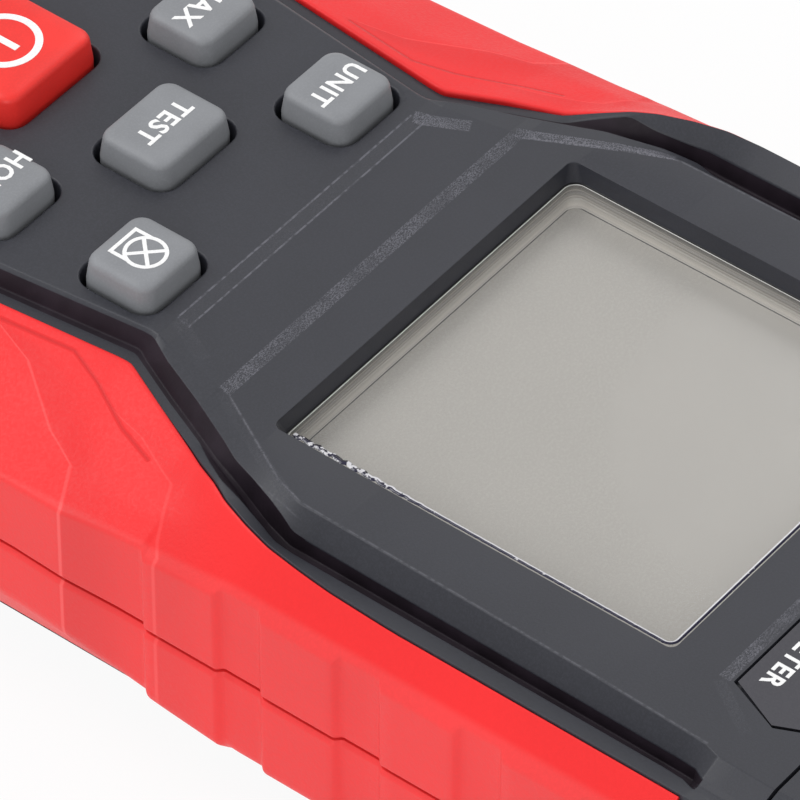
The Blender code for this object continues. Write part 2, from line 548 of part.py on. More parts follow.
def build_back_housing():
    stations = [GRIP_Y, BEND_Y, WAIST_Y, FOLD_Y, DISPLAY_Y - 19.0, SHOULDER_Y, WIDE_Y, BEFORE,
                AFTER, NOSE_SEAM_Y]
    top = PARTING_HEIGHT - SEAM / 2.0
    in_end = HANDLE_END + UNDER_SKIN
    corner = HANDLE_CORNER - UNDER_SKIN
    foot_in = BODY_HALF - GRIP_FOOT_HALF
    back_in = BODY_HALF - BACK_HALF
    outer = [
        ring(level(top, UNDER_SKIN), in_end, corner, stations),
        ring(foot_line(UNDER_SKIN, 0.0, 0.6), in_end, corner, stations),
        ring(level(GRIP_FOOT + 0.5, UNDER_SKIN + foot_in, foot_in),
             HANDLE_END + foot_in + UNDER_SKIN, HANDLE_CORNER - foot_in - UNDER_SKIN, stations),
        ring(level(BACK_EDGE, foot_in + 0.4, foot_in + 0.4), HANDLE_END + foot_in + 0.4,
             HANDLE_CORNER - foot_in - 0.4, stations),
        ring(level(0.0, back_in, back_in), HANDLE_END + back_in, HANDLE_CORNER - back_in,
             stations),
    ]
    inner = [
        ring(level(top, UNDER_SKIN + WALL, WALL), in_end + WALL, corner - WALL, stations),
        ring(foot_line(UNDER_SKIN + WALL, WALL, 1.0), in_end + WALL, corner - WALL, stations),
        ring(level(GRIP_FOOT + 0.8, UNDER_SKIN + foot_in + WALL, foot_in + WALL),
             HANDLE_END + foot_in + UNDER_SKIN + WALL,
             HANDLE_CORNER - foot_in - UNDER_SKIN - WALL, stations),
        ring(level(WALL + 0.2, back_in + 2.4, back_in + 2.4), HANDLE_END + back_in + 2.4,
             HANDLE_CORNER - back_in - 2.4, stations),
    ]
    for loop in inner:
        for i, (x, y, z) in enumerate(loop):
            loop[i] = (x, min(y, NOSE_SEAM_Y - WALL), z)
    housing = hollow("back_housing", outer, inner, HARD_BLACK)

    # Battery bay with its cells' roof, and the bosses that the screws pass through.
    weld(housing,
         stacked("bay_floor", [(2 * BAY_HALF + 9.2, DOOR_END + 7.0 - DOOR_START, 9.2, 0.6),
                               (2 * BAY_HALF + 9.2, DOOR_END + 7.0 - DOOR_START, 9.2, 4.2)],
                 at=(0.0, (DOOR_END + 7.0 + DOOR_START) / 2.0, 0.0)),
         box("bay_walls", (-BAY_HALF - BAY_WALL, BAY_START - BAY_WALL, 3.0),
             (BAY_HALF + BAY_WALL, BAY_END + BAY_WALL, BAY_ROOF + BAY_WALL)))
    door_half = BAY_HALF + DOOR_OVERLAP + FIT
    cut(housing,
        box("bay_space", (-BAY_HALF, BAY_START, -1.0), (BAY_HALF, BAY_END, BAY_ROOF)),
        stacked("door_recess", [(2 * door_half, 90.0, DOOR_CORNER + FIT, -1.0),
                                (2 * door_half, 90.0, DOOR_CORNER + FIT, DOOR_THICK + FIT)],
                at=(0.0, DOOR_END + FIT - 45.0, 0.0), steps=6))
    for side in (-1, 1):
        for i in range(TAB_COUNT):
            y0 = tab_start(i)
            low = DOOR_THICK - TAB_THICK - FIT
            near, far = door_half - 0.5, door_half + TAB_REACH
            tag = "_%d_%d" % (side, i)
            cut(housing,
                box("tab_slot" + tag, (min(side * near, side * (far + 0.1)),
                                       y0 - DOOR_TRAVEL - FIT - 0.1, low),
                    (max(side * near, side * (far + 0.1)), y0 + TAB_LENGTH + FIT,
                     DOOR_THICK + FIT - 0.05)),
                box("tab_notch" + tag, (min(side * (near - 0.1), side * far),
                                        y0 - DOOR_TRAVEL - FIT, -1.2),
                    (max(side * (near - 0.1), side * far),
                     y0 - DOOR_TRAVEL + TAB_LENGTH + FIT, low + 0.5)))
        for i, (x, y, _) in enumerate(SCREW_SPOTS):
            tag = "_%d_%d" % (side, i)
            at = Vector((side * x, y, 0.0))
            weld(housing, rod("tower" + tag, TOWER_RADIUS, at + Vector((0, 0, 3.4)),
                              at + Vector((0, 0, top - 0.2)), sides=16))
            cut(housing,
                rod("screw_way" + tag, SCREW_RADIUS + 0.3, at + Vector((0, 0, -1.0)),
                    at + Vector((0, 0, top + 1.0)), sides=12),
                rod("head_way" + tag, SCREW_HEAD + 0.2, at + Vector((0, 0, -1.0)),
                    at + Vector((0, 0, HEAD_SEAT)), sides=16))
    cut(housing, nose_passage("back_passage"))
    for side in (-1, 1):
        weld(housing, box("back_clip_%d" % side, (side * 14.0 - 3.5, NOSE_SEAM_Y - 1.0, 2.6),
                          (side * 14.0 + 3.5, NOSE_SEAM_Y + 4.0, 4.0)))
    return housing


def tab_start(i):
    return BAY_START + 13.0 + i * 15.0


def build_grips():
    """The two halves of the red overmould, each one U round the handle end."""
    ribs = []
    for i in range(RIB_COUNT):
        start = RIB_FIRST + i * (RIB_LENGTH + RIB_GAP + 2 * RIB_RAMP)
        ribs.append((start, start + RIB_RAMP, start + RIB_RAMP + RIB_LENGTH,
                     start + 2 * RIB_RAMP + RIB_LENGTH))
    stop = BEFORE - SEAM / 2.0
    bends = [GRIP_Y, BEND_Y, DISPLAY_Y - 38.0, WAIST_Y, FOLD_Y, DISPLAY_Y - 23.7,
             DISPLAY_Y - 19.0, SHOULDER_Y, WIDE_Y, WIDE_Y + 3.0]
    stations = sorted({round(y, 4) for y in bends + [y for rib in ribs for y in rib]
                       if y < stop - 0.1} | {stop})

    def ribbed(loop):
        raised = []
        for x, y, z in loop:
            rise = 0.0
            for a, b, c, d in ribs:
                if b - 0.01 <= y <= c + 0.01:
                    rise = RIB_PROUD
            raised.append((x + math.copysign(rise, x), y, z))
        return raised

    def open_u(name, loops, mat):
        count = len(loops[0]) // 2
        order = list(range(count, 2 * count)) + list(range(count))
        bm = bmesh.new()
        loft(bm, [[loop[i] for loop in loops] for i in order])
        return from_bmesh(name, bm, mat, PARTS)

    floor = PARTING_HEIGHT + SEAM / 2.0
    in_end, corner = HANDLE_END + GRIP_SKIN, HANDLE_CORNER - GRIP_SKIN
    under = [(y, half - GRIP_SKIN, z - GRIP_SKIN + 0.5) for y, half, z in SIDE_TOP]
    slope = [(GRIP_Y, HANDLE_HALF - 4.6, SIDE_TOP_GRIP + 3.0),
             (BEND_Y, BODY_HALF - 6.2, SIDE_TOP_GRIP + 3.0),
             (DISPLAY_Y - 38.0, BODY_HALF - 6.8, SIDE_TOP_GRIP + 3.2),
             (WAIST_Y, BODY_HALF - 4.0, SIDE_TOP_GRIP + 2.6),
             (FOLD_Y, BODY_HALF - 2.6, SIDE_TOP_GRIP + 2.0),
             (DISPLAY_Y - 19.0, BODY_HALF - 2.6, SIDE_TOP_WIDE + 0.9),
             (WIDE_Y, BODY_HALF - 1.4, SIDE_TOP_WIDE + 1.5),
             (NOSE_SEAM_Y, BODY_HALF - 1.2, SIDE_TOP_WIDE + 1.6)]
    inner_foot = [(y, half + SEAM, z + SEAM) for y, half, z in REBATE_FLOOR[:-2]] + [
        (NOSE_SEAM_Y, RIM_HALF + SEAM, RIM_TOP - REBATE + SEAM)]
    front = open_u("front_grip", [
        ribbed(ring(level(floor), HANDLE_END, HANDLE_CORNER, stations)),
        ribbed(ring(SIDE_TOP, HANDLE_END, HANDLE_CORNER, stations)),
        ring(slope, HANDLE_END + 4.2, 13.0, stations),
        ring(GRIP_INNER, HANDLE_END + 7.4, 11.4, stations),
        ring(inner_foot, HANDLE_END + 7.7, 11.3, stations),
        ring(under, in_end, corner, stations),
        ring(level(floor, GRIP_SKIN, GRIP_SKIN), in_end, corner, stations),
    ], SOFT_RED)
    top = PARTING_HEIGHT - SEAM / 2.0
    foot_in = BODY_HALF - GRIP_FOOT_HALF
    back = open_u("back_grip", [
        ribbed(ring(level(top), HANDLE_END, HANDLE_CORNER, stations)),
        ribbed(ring(foot_line(), HANDLE_END, HANDLE_CORNER, stations)),
        ring(level(GRIP_FOOT, foot_in, foot_in), HANDLE_END + foot_in, HANDLE_CORNER - foot_in,
             stations),
        ring(level(GRIP_FOOT + 0.8, foot_in + GRIP_SKIN - 0.2, foot_in + GRIP_SKIN - 0.2),
             HANDLE_END + foot_in + GRIP_SKIN - 0.2, HANDLE_CORNER - foot_in - GRIP_SKIN + 0.2,
             stations),
        ring(foot_line(GRIP_SKIN, GRIP_SKIN, 0.5), in_end, corner, stations),
        ring(level(top, GRIP_SKIN, GRIP_SKIN), in_end, corner, stations),
    ], SOFT_RED)
    return front, back


def nose_section(y, inward, half_share=1.0, drop=0.0, lift=0.0):
    """Cross-section of the nose at y, clockwise from the middle of the top."""
    top = PANEL_TOP - drop
    right = [
        (24.6 * half_share - inward, top - inward),
        (RIM_HALF * half_share - inward * 0.8, top - 0.9 - inward * 0.9),
        (BODY_HALF * half_share - inward, SIDE_TOP_WIDE - drop - inward * 0.5),
        (BODY_HALF * half_share - inward, SIDE_FOOT + lift + inward * 0.4),
        ((GRIP_FOOT_HALF - 0.3) * half_share - inward * 0.8, BACK_EDGE + lift + inward * 0.8),
        (BACK_HALF * half_share - inward * 0.6, lift + inward),
    ]
    return [(x, y, z) for x, z in right] + [(-x, y, z) for x, z in reversed(right)]


def build_nose():
    start = NOSE_SEAM_Y + SEAM
    outer = [nose_section(start, 0.0), nose_section(NOSE_END - 6.0, 0.0, 0.985, 0.5, 0.3),
             nose_section(NOSE_END - 1.5, 0.0, 0.93, 2.0, 1.6),
             nose_section(NOSE_END, 0.0, 0.88, 3.4, 3.0)]
    inner = [nose_section(start, NOSE_WALL), nose_section(NOSE_END - 6.5, NOSE_WALL, 0.98, 0.7, 0.5),
             nose_section(NOSE_END - WINDOW_THICK - 2.2, NOSE_WALL, 0.93, 2.4, 2.0)]
    cap = hollow("nose_cap", outer, inner, HARD_BLACK)

    def window(name, wide, tall, y0, y1):
        bm = bmesh.new()
        loft(bm, [[(x, y, z + OPTICS_Z) for x, z in rounded_outline(wide, tall, 3.0)]
                  for y in (y0, y1)])
        return bm

    front = NOSE_END - 0.5
    lip_y = front - WINDOW_THICK / 2.0
    back = NOSE_END - 15.0
    cut(cap, from_bmesh("window_hole", window("hole", WINDOW_WIDE, WINDOW_TALL, back, NOSE_END + 5.0)),
        from_bmesh("window_seat", window("seat", WINDOW_WIDE + 2 * WINDOW_LIP,
                                         WINDOW_TALL + 2 * WINDOW_LIP, back, lip_y)))
    bm = bmesh.new()
    layers = [(WINDOW_WIDE + 2 * (WINDOW_LIP - FIT), WINDOW_TALL + 2 * (WINDOW_LIP - FIT),
               front - WINDOW_THICK - FIT),
              (WINDOW_WIDE + 2 * (WINDOW_LIP - FIT), WINDOW_TALL + 2 * (WINDOW_LIP - FIT),
               lip_y - FIT),
              (WINDOW_WIDE - 2 * FIT, WINDOW_TALL - 2 * FIT, lip_y - FIT),
              (WINDOW_WIDE - 2 * FIT, WINDOW_TALL - 2 * FIT, front)]
    loft(bm, [[(x, y, z + OPTICS_Z) for x, z in rounded_outline(wide, tall, 3.0)]
              for wide, tall, y in layers])
    from_bmesh("sensor_window", bm, SMOKED, PARTS)
    return cap


def build_display():
    pane = 2 * PANE_CLEAR
    stacked("lcd_window", [
        (RECESS_WIDE - 0.4 - pane, RECESS_TALL - 0.4 - pane, RECESS_CORNER - PANE_CLEAR, PANE_FLOOR),
        (RECESS_WIDE - 0.4 - pane, RECESS_TALL - 0.4 - pane, RECESS_CORNER - PANE_CLEAR,
         PANE_TOP - 0.3),
        (RECESS_WIDE - 1.0 - pane, RECESS_TALL - 1.0 - pane, RECESS_CORNER - PANE_CLEAR, PANE_TOP)],
        CLEAR, PARTS, at=(0.0, DISPLAY_Y, 0.0))
    lcd_top = LIP_FLOOR - FIT
    wide = RECESS_WIDE - 2 * LIP + 2 * LCD_MARGIN
    tall = RECESS_TALL - 2 * LIP + 2 * LCD_MARGIN
    box("lcd_panel", (-wide / 2, DISPLAY_Y - tall / 2, lcd_top - LCD_THICK),
        (wide / 2, DISPLAY_Y + tall / 2, lcd_top), LCD_GREY, PARTS)
    low = lcd_top - LCD_THICK - FIT
    plate_top = low
    light = box("backlight_plate",
                (-wide / 2 + 2.0, DISPLAY_Y - tall / 2 + 3.4, plate_top - BACKLIGHT_THICK),
                (wide / 2 - 2.0, DISPLAY_Y + tall / 2 - 3.4, plate_top), PALE, PARTS)
    round_edges(light, 0.3, 1)
    frame = box("lcd_frame", (-wide / 2 - 1.2, DISPLAY_Y - tall / 2 - 1.2, BOARD_TOP + FIT),
                (wide / 2 + 1.2, DISPLAY_Y + tall / 2 + 1.2, lcd_top - 0.8), PALE, PARTS)
    cut(frame,
        box("frame_pocket", (-wide / 2 - FIT, DISPLAY_Y - tall / 2 - FIT, low),
            (wide / 2 + FIT, DISPLAY_Y + tall / 2 + FIT, lcd_top + 1.0)),
        box("frame_window", (-wide / 2 + 1.7, DISPLAY_Y - tall / 2 + 3.1, BOARD_TOP - 1.0),
            (wide / 2 - 1.7, DISPLAY_Y + tall / 2 - 3.1, low + 1.0)))
    for name, y in (("zebra_strip_lower", DISPLAY_Y - tall / 2 + 1.6),
                    ("zebra_strip_upper", DISPLAY_Y + tall / 2 - 1.6)):
        cut(frame, box(name + "_slot", (-wide / 2 + 1.4, y - 0.9 - FIT / 2, BOARD_TOP - 1.0),
                       (wide / 2 - 1.4, y + 0.9 + FIT / 2, low + 1.0)))
        box(name, (-wide / 2 + 1.7, y - 0.9 + FIT / 2, BOARD_TOP + FIT),
            (wide / 2 - 1.7, y + 0.9 - FIT / 2, low), ZEBRA, PARTS)


def build_keys():
    for name, (x, y, wide, tall) in KEY_ROWS.items():
        top = KEYPAD_TOP + (POWER_PROUD if name == "key_power" else KEY_PROUD)
        flange_top = PANEL_UNDER - FIT
        flange = (wide, tall + 2 * KEY_FLANGE, KEY_CORNER)
        body = (wide, tall, KEY_CORNER)
        small = (wide - 2 * KEY_TAPER, tall - 2 * KEY_TAPER, KEY_CORNER)
        stem = (2 * STEM_HALF, 2 * STEM_HALF, 0.4)
        layers = [
            (*stem, STEM_FOOT), (*stem, flange_top - FLANGE_THICK),
            (*flange, flange_top - FLANGE_THICK), (*flange, flange_top), (*body, flange_top),
            (*body, KEYPAD_TOP), (*small, top - KEY_ROUND),
            (small[0] - 0.42 * KEY_ROUND, small[1] - 0.42 * KEY_ROUND, KEY_CORNER - 0.1,
             top - 0.4 * KEY_ROUND),
            (small[0] - 1.2 * KEY_ROUND, small[1] - 1.2 * KEY_ROUND, KEY_CORNER - 0.3,
             top - 0.08 * KEY_ROUND),
            (small[0] - 2.2 * KEY_ROUND, small[1] - 2.2 * KEY_ROUND, KEY_CORNER - 0.6, top)]
        at = (x, DISPLAY_Y + y, 0.0)
        stacked(name, layers, SOFT_RED_KEY if name == "key_power" else SOFT_GREY, PARTS, at)

    first = min(y - tall / 2 for _, y, _, tall in KEY_ROWS.values()) - 2.5
    last = max(y + tall / 2 for _, y, _, tall in KEY_ROWS.values()) + 2.0
    middle = DISPLAY_Y + (first + last) / 2.0
    half = max(abs(x) + wide / 2 for x, _, wide, _ in KEY_ROWS.values()) + 1.0
    sheet = stacked("keypad_sheet", [
        (2 * half, last - first, 2.0, SHEET_FLOOR),
        (2 * half, last - first, 2.0, SHEET_FLOOR + SHEET_THICK)],
        SOFT_GREY, PARTS, at=(0.0, middle, 0.0))
    for name, (x, y, _, _) in KEY_ROWS.items():
        weld(sheet, rod(name + "_pad", STEM_HALF + 0.6, (x, DISPLAY_Y + y, SHEET_FLOOR + 0.4),
                        (x, DISPLAY_Y + y, SHEET_FLOOR + SHEET_THICK + PAD_HEIGHT), sides=16,
                        end_radius=STEM_HALF))


def build_board():
    floor = BOARD_TOP - BOARD_THICK
    board = box("main_board", (-BOARD_HALF, BOARD_START, floor),
                (BOARD_HALF, BOARD_END, BOARD_TOP), BOARD_GREEN, PARTS)
    posts = [(BOARD_HALF - 2.6, BOARD_START + 3.0), (BOARD_HALF - 2.6, BOARD_END - 2.3)]
    for side in (-1, 1):
        for i, (x, y) in enumerate(posts):
            at = Vector((side * x, y, 0.0))
            tag = "_%d_%d" % (side, i)
            cut(board, rod("board_hole" + tag, 1.2, at + Vector((0, 0, floor - 1.0)),
                           at + Vector((0, 0, BOARD_TOP + 1.0)), sides=12))
            weld(FRONT, rod("board_post" + tag, 2.0, at + Vector((0, 0, BOARD_TOP + FIT)),
                            at + Vector((0, 0, PANEL_UNDER + 0.5)), sides=12))
            cut(FRONT, rod("board_pilot" + tag, 0.8, at + Vector((0, 0, BOARD_TOP - 1.0)),
                           at + Vector((0, 0, BOARD_TOP + 5.0)), sides=10))
            number = (i * 2) + (1 if side < 0 else 2)
            turned("board_screw_%d" % number,
                   [(0.0, 4.6), (0.6, 4.3), (0.6, 0.0), (1.7, 0.0), (1.7, -0.7), (1.2, -1.1),
                    (0.0, -1.2)], at + Vector((0, 0, floor - FIT)), (0, 0, 1), STEEL, PARTS, 16)
    chip = box("processor_chip", (-5.0, DISPLAY_Y - 30.0, floor - FIT - 1.4),
               (5.0, DISPLAY_Y - 20.0, floor - FIT), CHIP_BLACK, PARTS)
    round_edges(chip, 0.25, 1)
    can = stacked("clock_crystal", [(10.2, 3.8, 1.8, floor - FIT - 3.2), (10.2, 3.8, 1.8, floor - FIT)],
                  STEEL, PARTS, at=(0.0, DISPLAY_Y - 15.0, 0.0))
    round_edges(can, 0.3, 1)
    turned("board_capacitor",
           [(0.0, 0.0), (2.2, 0.0), (2.5, -0.3), (2.5, -5.0), (2.2, -5.4), (0.0, -5.4)],
           (12.0, DISPLAY_Y - 12.0, floor - FIT), (0, 0, 1), CAN_GREY, PARTS, 20)


def build_batteries():
    minus_end = BAY_START + FIT
    for i in range(CELL_COUNT):
        x = (i - (CELL_COUNT - 1) / 2.0) * CELL_PITCH
        way = 1 if i % 2 == 0 else -1
        low = minus_end + CONTACT_THICK
        high = BAY_END - FIT - CONTACT_THICK
        # Each cell's flat end is on the spring, and neighbouring cells face opposite ways.
        base = low + SPRING_LENGTH if way > 0 else high - SPRING_LENGTH
        axis = (0.0, way, 0.0)
        r = CELL_RADIUS
        turned("battery_%d" % (i + 1), [
            (0.0, CELL_LENGTH + CELL_NUB - FIT), (1.7, CELL_LENGTH + CELL_NUB - FIT),
            (1.9, CELL_LENGTH), (r - 0.5, CELL_LENGTH), (r, CELL_LENGTH - 0.5), (r, 0.9),
            (r - 0.5, 0.3), (0.0, 0.3)], (x, base, CELL_Z), axis, CELL_SKIN, PARTS, 24)
        spring("battery_spring_%d" % (i + 1), (x, base, CELL_Z), way)
    ends = (minus_end, BAY_END - FIT - CONTACT_THICK)
    half = CELL_PITCH * CELL_COUNT / 2.0 - 0.6
    spans = [(ends[0], -half, -CELL_PITCH / 2 - 0.5), (ends[0], -CELL_PITCH / 2 + 0.5, half),
             (ends[1], -half, CELL_PITCH / 2 - 0.5), (ends[1], CELL_PITCH / 2 + 0.5, half)]
    for i, (y, x0, x1) in enumerate(spans):
        plate = box("battery_contact_%d" % (i + 1), (x0, y, CELL_Z - 4.0),
                    (x1, y + CONTACT_THICK, CELL_Z + 4.0), STEEL, PARTS)
        round_edges(plate, 0.15, 1)


def spring(name, at, way):
    """Cone-shaped contact spring from a cell's flat end down to its plate."""
    turns, per_turn, wire = 3.0, 10, 0.3
    length = SPRING_LENGTH - 2 * FIT - 2 * wire
    data = bpy.data.curves.new(name, "CURVE")
    data.dimensions = "3D"
    data.bevel_depth = wire * MM
    data.bevel_resolution = 1
    data.use_fill_caps = True
    line = data.splines.new("POLY")
    count = int(turns * per_turn)
    line.points.add(count)
    for i in range(count + 1):
        t = i / count
        turn = 2.0 * math.pi * turns * t
        radius = 2.0 + 2.0 * t
        y = -way * (wire + length * min(max((t - 0.1) / 0.8, 0.0), 1.0))
        line.points[i].co = (radius * math.cos(turn) * MM, y * MM, radius * math.sin(turn) * MM, 1.0)
    curve = bpy.data.objects.new(name + "_path", data)
    curve.location = Vector(at) * MM
    bpy.context.scene.collection.objects.link(curve)
    bpy.context.view_layer.update()
    shape = curve.evaluated_get(bpy.context.evaluated_depsgraph_get())
    mesh = bpy.data.meshes.new_from_object(shape)
    bm = bmesh.new()
    bm.from_mesh(mesh)
    bmesh.ops.remove_doubles(bm, verts=bm.verts, dist=0.000001)
    bmesh.ops.recalc_face_normals(bm, faces=bm.faces)
    bm.to_mesh(mesh)
    bm.free()
    item = bpy.data.objects.new(name, mesh)
    item.matrix_world = curve.matrix_world.copy()
    bpy.data.objects.remove(curve, do_unlink=True)
    return place(item, STEEL, PARTS)


def build_door():
    half = BAY_HALF + DOOR_OVERLAP
    long = DOOR_END - DOOR_START
    door = stacked("battery_door", [
        (2 * half - 0.6, long - 0.6, DOOR_CORNER, 0.0), (2 * half, long, DOOR_CORNER, 0.3),
        (2 * half, long, DOOR_CORNER, DOOR_THICK)], HARD_BLACK, PARTS,
        at=(0.0, (DOOR_START + DOOR_END) / 2.0, 0.0), steps=6)
    for side in (-1, 1):
        for i in range(TAB_COUNT):
            y0 = tab_start(i)
            x = (side * (half - 1.0), side * (half + TAB_REACH))
            weld(door, box("tab_%d_%d" % (side, i), (min(x), y0, DOOR_THICK - TAB_THICK),
                           (max(x), y0 + TAB_LENGTH, DOOR_THICK - 0.1)))
    # Thumb rest: a shallow scoop with three ridges left standing in it.
    scoop_y = DOOR_END - 14.0
    for i in range(4):
        y = scoop_y + i * 2.4
        cut(door, box("thumb_groove_%d" % i, (-6.0 + i * 0.7, y, -1.0), (6.0 - i * 0.7, y + 1.5, 0.7)))
    return door


def build_fasteners():
    number = 0
    for side in (-1, 1):
        for x, y, _ in SCREW_SPOTS:
            number += 1
            seat = HEAD_SEAT
            r, head = SCREW_RADIUS - 0.2, SCREW_HEAD - 0.1
            screw = turned("housing_screw_%d" % number, [
                (0.0, PARTING_HEIGHT - seat + 4.0), (r - 0.3, PARTING_HEIGHT - seat + 4.0),
                (r, PARTING_HEIGHT - seat + 3.2), (r, 0.0), (head, 0.0), (head, -1.0),
                (head - 0.6, -1.5), (0.0, -1.7)],
                (side * x, y, seat - FIT), (0, 0, 1), STEEL, PARTS, 20)
            at = Vector((side * x, y, seat - FIT - 1.7))
            for i, (a, b) in enumerate(((1.1, 0.22), (0.22, 1.1))):
                cut(screw, box("cross_%d_%d" % (number, i), at + Vector((-a, -b, -1.0)),
                               at + Vector((a, b, 0.7))))


def build_optics():
    back = NOSE_SEAM_Y - 8.0
    rod_end = back + LASER_LENGTH - 1.0
    turned("laser_module", [
        (0.0, -3.0), (3.0, -3.0), (3.0, 0.0), (LASER_RADIUS - 0.3, 0.0), (LASER_RADIUS, -0.3),
        (LASER_RADIUS, -LASER_LENGTH + 0.3), (LASER_RADIUS - 0.3, -LASER_LENGTH),
        (0.0, -LASER_LENGTH)], (LASER_X, rod_end, OPTICS_Z), (0, 1, 0), BRASS, PARTS, 24)
    turned("laser_lens", [(0.0, 0.0), (1.4, -0.25), (2.7, -0.9), (2.7, -1.9), (0.0, -1.9)],
           (LASER_X, rod_end - 0.8, OPTICS_Z), (0, 1, 0), CLEAR, PARTS, 20)
    tube_end = back + TUBE_LENGTH
    tube = rod("receiver_tube", TUBE_RADIUS, (TUBE_X, back, OPTICS_Z), (TUBE_X, tube_end, OPTICS_Z),
               HARD_BLACK, PARTS, 28)
    inner = TUBE_RADIUS - TUBE_WALL
    cut(tube, rod("tube_bore", inner, (TUBE_X, back + 2.0, OPTICS_Z),
                  (TUBE_X, tube_end + 1.0, OPTICS_Z), sides=28),
        rod("diode_hole", 2.6, (TUBE_X, back - 1.0, OPTICS_Z), (TUBE_X, back + 3.0, OPTICS_Z)))
    turned("receiver_lens", [
        (0.0, 1.2), (3.4, 0.9), (inner - FIT, 0.0), (inner - FIT, -1.6), (0.0, -1.6)],
        (TUBE_X, tube_end - 1.4, OPTICS_Z), (0, 1, 0), CLEAR, PARTS, 28)
    turned("photodiode", [
        (0.0, 2.6), (1.5, 2.3), (2.3, 1.2), (2.3, -1.0), (0.0, -1.0)],
        (TUBE_X, back + 1.0, OPTICS_Z), (0, 1, 0), CHIP_BLACK, PARTS, 20)
    bracket = box("optics_bracket", (-BRACKET_HALF, back - 6.0, WALL + 0.2 + FIT),
                  (BRACKET_HALF, NOSE_SEAM_Y - WALL - FIT, OPTICS_Z - 2.0), HARD_BLACK, PARTS)
    cut(bracket,
        rod("laser_cradle", LASER_RADIUS + FIT, (LASER_X, back - 9.0, OPTICS_Z),
            (LASER_X, back + 9.0, OPTICS_Z)),
        rod("tube_cradle", TUBE_RADIUS + FIT, (TUBE_X, back - FIT, OPTICS_Z),
            (TUBE_X, back + 9.0, OPTICS_Z), sides=28))


clear_scene()
PARTS = new_collection("laser_tachometer")
CUTTERS = new_collection("cutters")

HARD_BLACK = material("hard_black", (0.072, 0.074, 0.085), 0.55)
SOFT_RED = material("soft_red", (0.82, 0.06, 0.06), 0.6)
SOFT_RED_KEY = material("soft_red_key", (0.72, 0.05, 0.045), 0.5)
SOFT_GREY = material("soft_grey", (0.29, 0.30, 0.31), 0.6)
CLEAR = material("clear_plastic", (0.8, 0.82, 0.82), 0.08)
SMOKED = material("smoked_plastic", (0.02, 0.02, 0.025), 0.1)
LCD_GREY = material("display_grey", (0.42, 0.40, 0.37), 0.3)
PALE = material("pale_plastic", (0.8, 0.8, 0.78), 0.5)
ZEBRA = material("contact_rubber", (0.3, 0.3, 0.32), 0.7)
BOARD_GREEN = material("board_green", (0.02, 0.16, 0.06), 0.5)
CHIP_BLACK = material("chip_black", (0.015, 0.015, 0.017), 0.4)
CAN_GREY = material("can_grey", (0.5, 0.5, 0.52), 0.35, 1.0)
STEEL = material("steel", (0.6, 0.6, 0.62), 0.3, 1.0)
BRASS = material("brass", (0.75, 0.55, 0.25), 0.3, 1.0)
CELL_SKIN = material("cell_skin", (0.05, 0.06, 0.09), 0.35, 0.6)

FRONT = build_front_housing()
build_back_housing()
build_grips()
build_nose()
build_display()
build_keys()
build_board()
build_batteries()
build_door()
build_fasteners()
build_optics()
print("nodes:", len(PARTS.objects))
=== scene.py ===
import math
import bmesh
import bpy
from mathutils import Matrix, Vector


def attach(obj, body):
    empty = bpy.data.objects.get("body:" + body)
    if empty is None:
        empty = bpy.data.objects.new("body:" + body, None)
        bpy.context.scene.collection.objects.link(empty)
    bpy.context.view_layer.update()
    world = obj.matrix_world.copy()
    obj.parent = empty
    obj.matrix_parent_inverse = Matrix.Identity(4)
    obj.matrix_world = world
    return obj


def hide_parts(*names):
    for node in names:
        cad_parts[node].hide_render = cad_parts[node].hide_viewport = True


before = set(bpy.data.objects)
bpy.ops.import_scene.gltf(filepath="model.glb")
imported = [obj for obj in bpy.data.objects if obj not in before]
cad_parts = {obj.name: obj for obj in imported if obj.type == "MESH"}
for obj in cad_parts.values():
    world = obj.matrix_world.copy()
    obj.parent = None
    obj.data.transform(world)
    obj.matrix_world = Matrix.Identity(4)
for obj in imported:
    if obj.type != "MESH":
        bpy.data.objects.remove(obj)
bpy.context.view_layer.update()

# A hand-held laser tachometer lying on its back. Sizes below are in millimetres:
# x across the body, y from the handle to the laser end, z up through the display.
mm = 0.001
body = "case"

layout = {
    "displayY": 23.0,
    "panelTop": 30.0,
    "keypadTop": 30.45,
    "parting": 17.85,
    "backParting": 17.55,
    "handleEnd": -75.0,
    "corner": 15.0,
    "gripStart": -45.0,
    "gripStop": 50.2,
    "noseSeam": 55.2,
    "waist": (-22.0, 20.0),
}


# the photo's view, three lamps and a white floor

camera = {
    "azimuth": 128.161,
    "elevation": 44.781,
    "distance": 0.6,
    "target": (0.010341, 0.01034, 0.030),
    "lens": 365.247,
    "sensor": 36,
    "farClip": 10,
}
light = {
    "world": 0.66,
    "floor": (0.86, 0.86, 0.86),
    "floorRadius": 3000.0,
    "aim": (0, 0.01, 0.02),
}
# power, diameter and place of each lamp
lamps = {
    "keyLamp": (3.1, 0.5, (0.12, -0.55, 0.75)),
    "backLamp": (1.0, 0.4, (-0.6, -0.15, 0.55)),
    "fillLamp": (2.3, 0.6, (0.8, 0.35, 0.45)),
}


def placeCamera():
    turn = math.radians(camera["azimuth"])
    tilt = math.radians(camera["elevation"])
    back = Vector((math.sin(turn) * math.cos(tilt), -math.cos(turn) * math.cos(tilt), math.sin(tilt)))
    data = bpy.data.cameras.new("viewCamera")
    data.sensor_width = camera["sensor"]
    data.lens = camera["lens"]
    data.clip_end = camera["farClip"]
    item = bpy.data.objects.new("viewCamera", data)
    item.location = Vector(camera["target"]) + back * camera["distance"]
    item.rotation_euler = (-back).to_track_quat("-Z", "Y").to_euler()
    bpy.context.scene.collection.objects.link(item)
    bpy.context.scene.camera = item


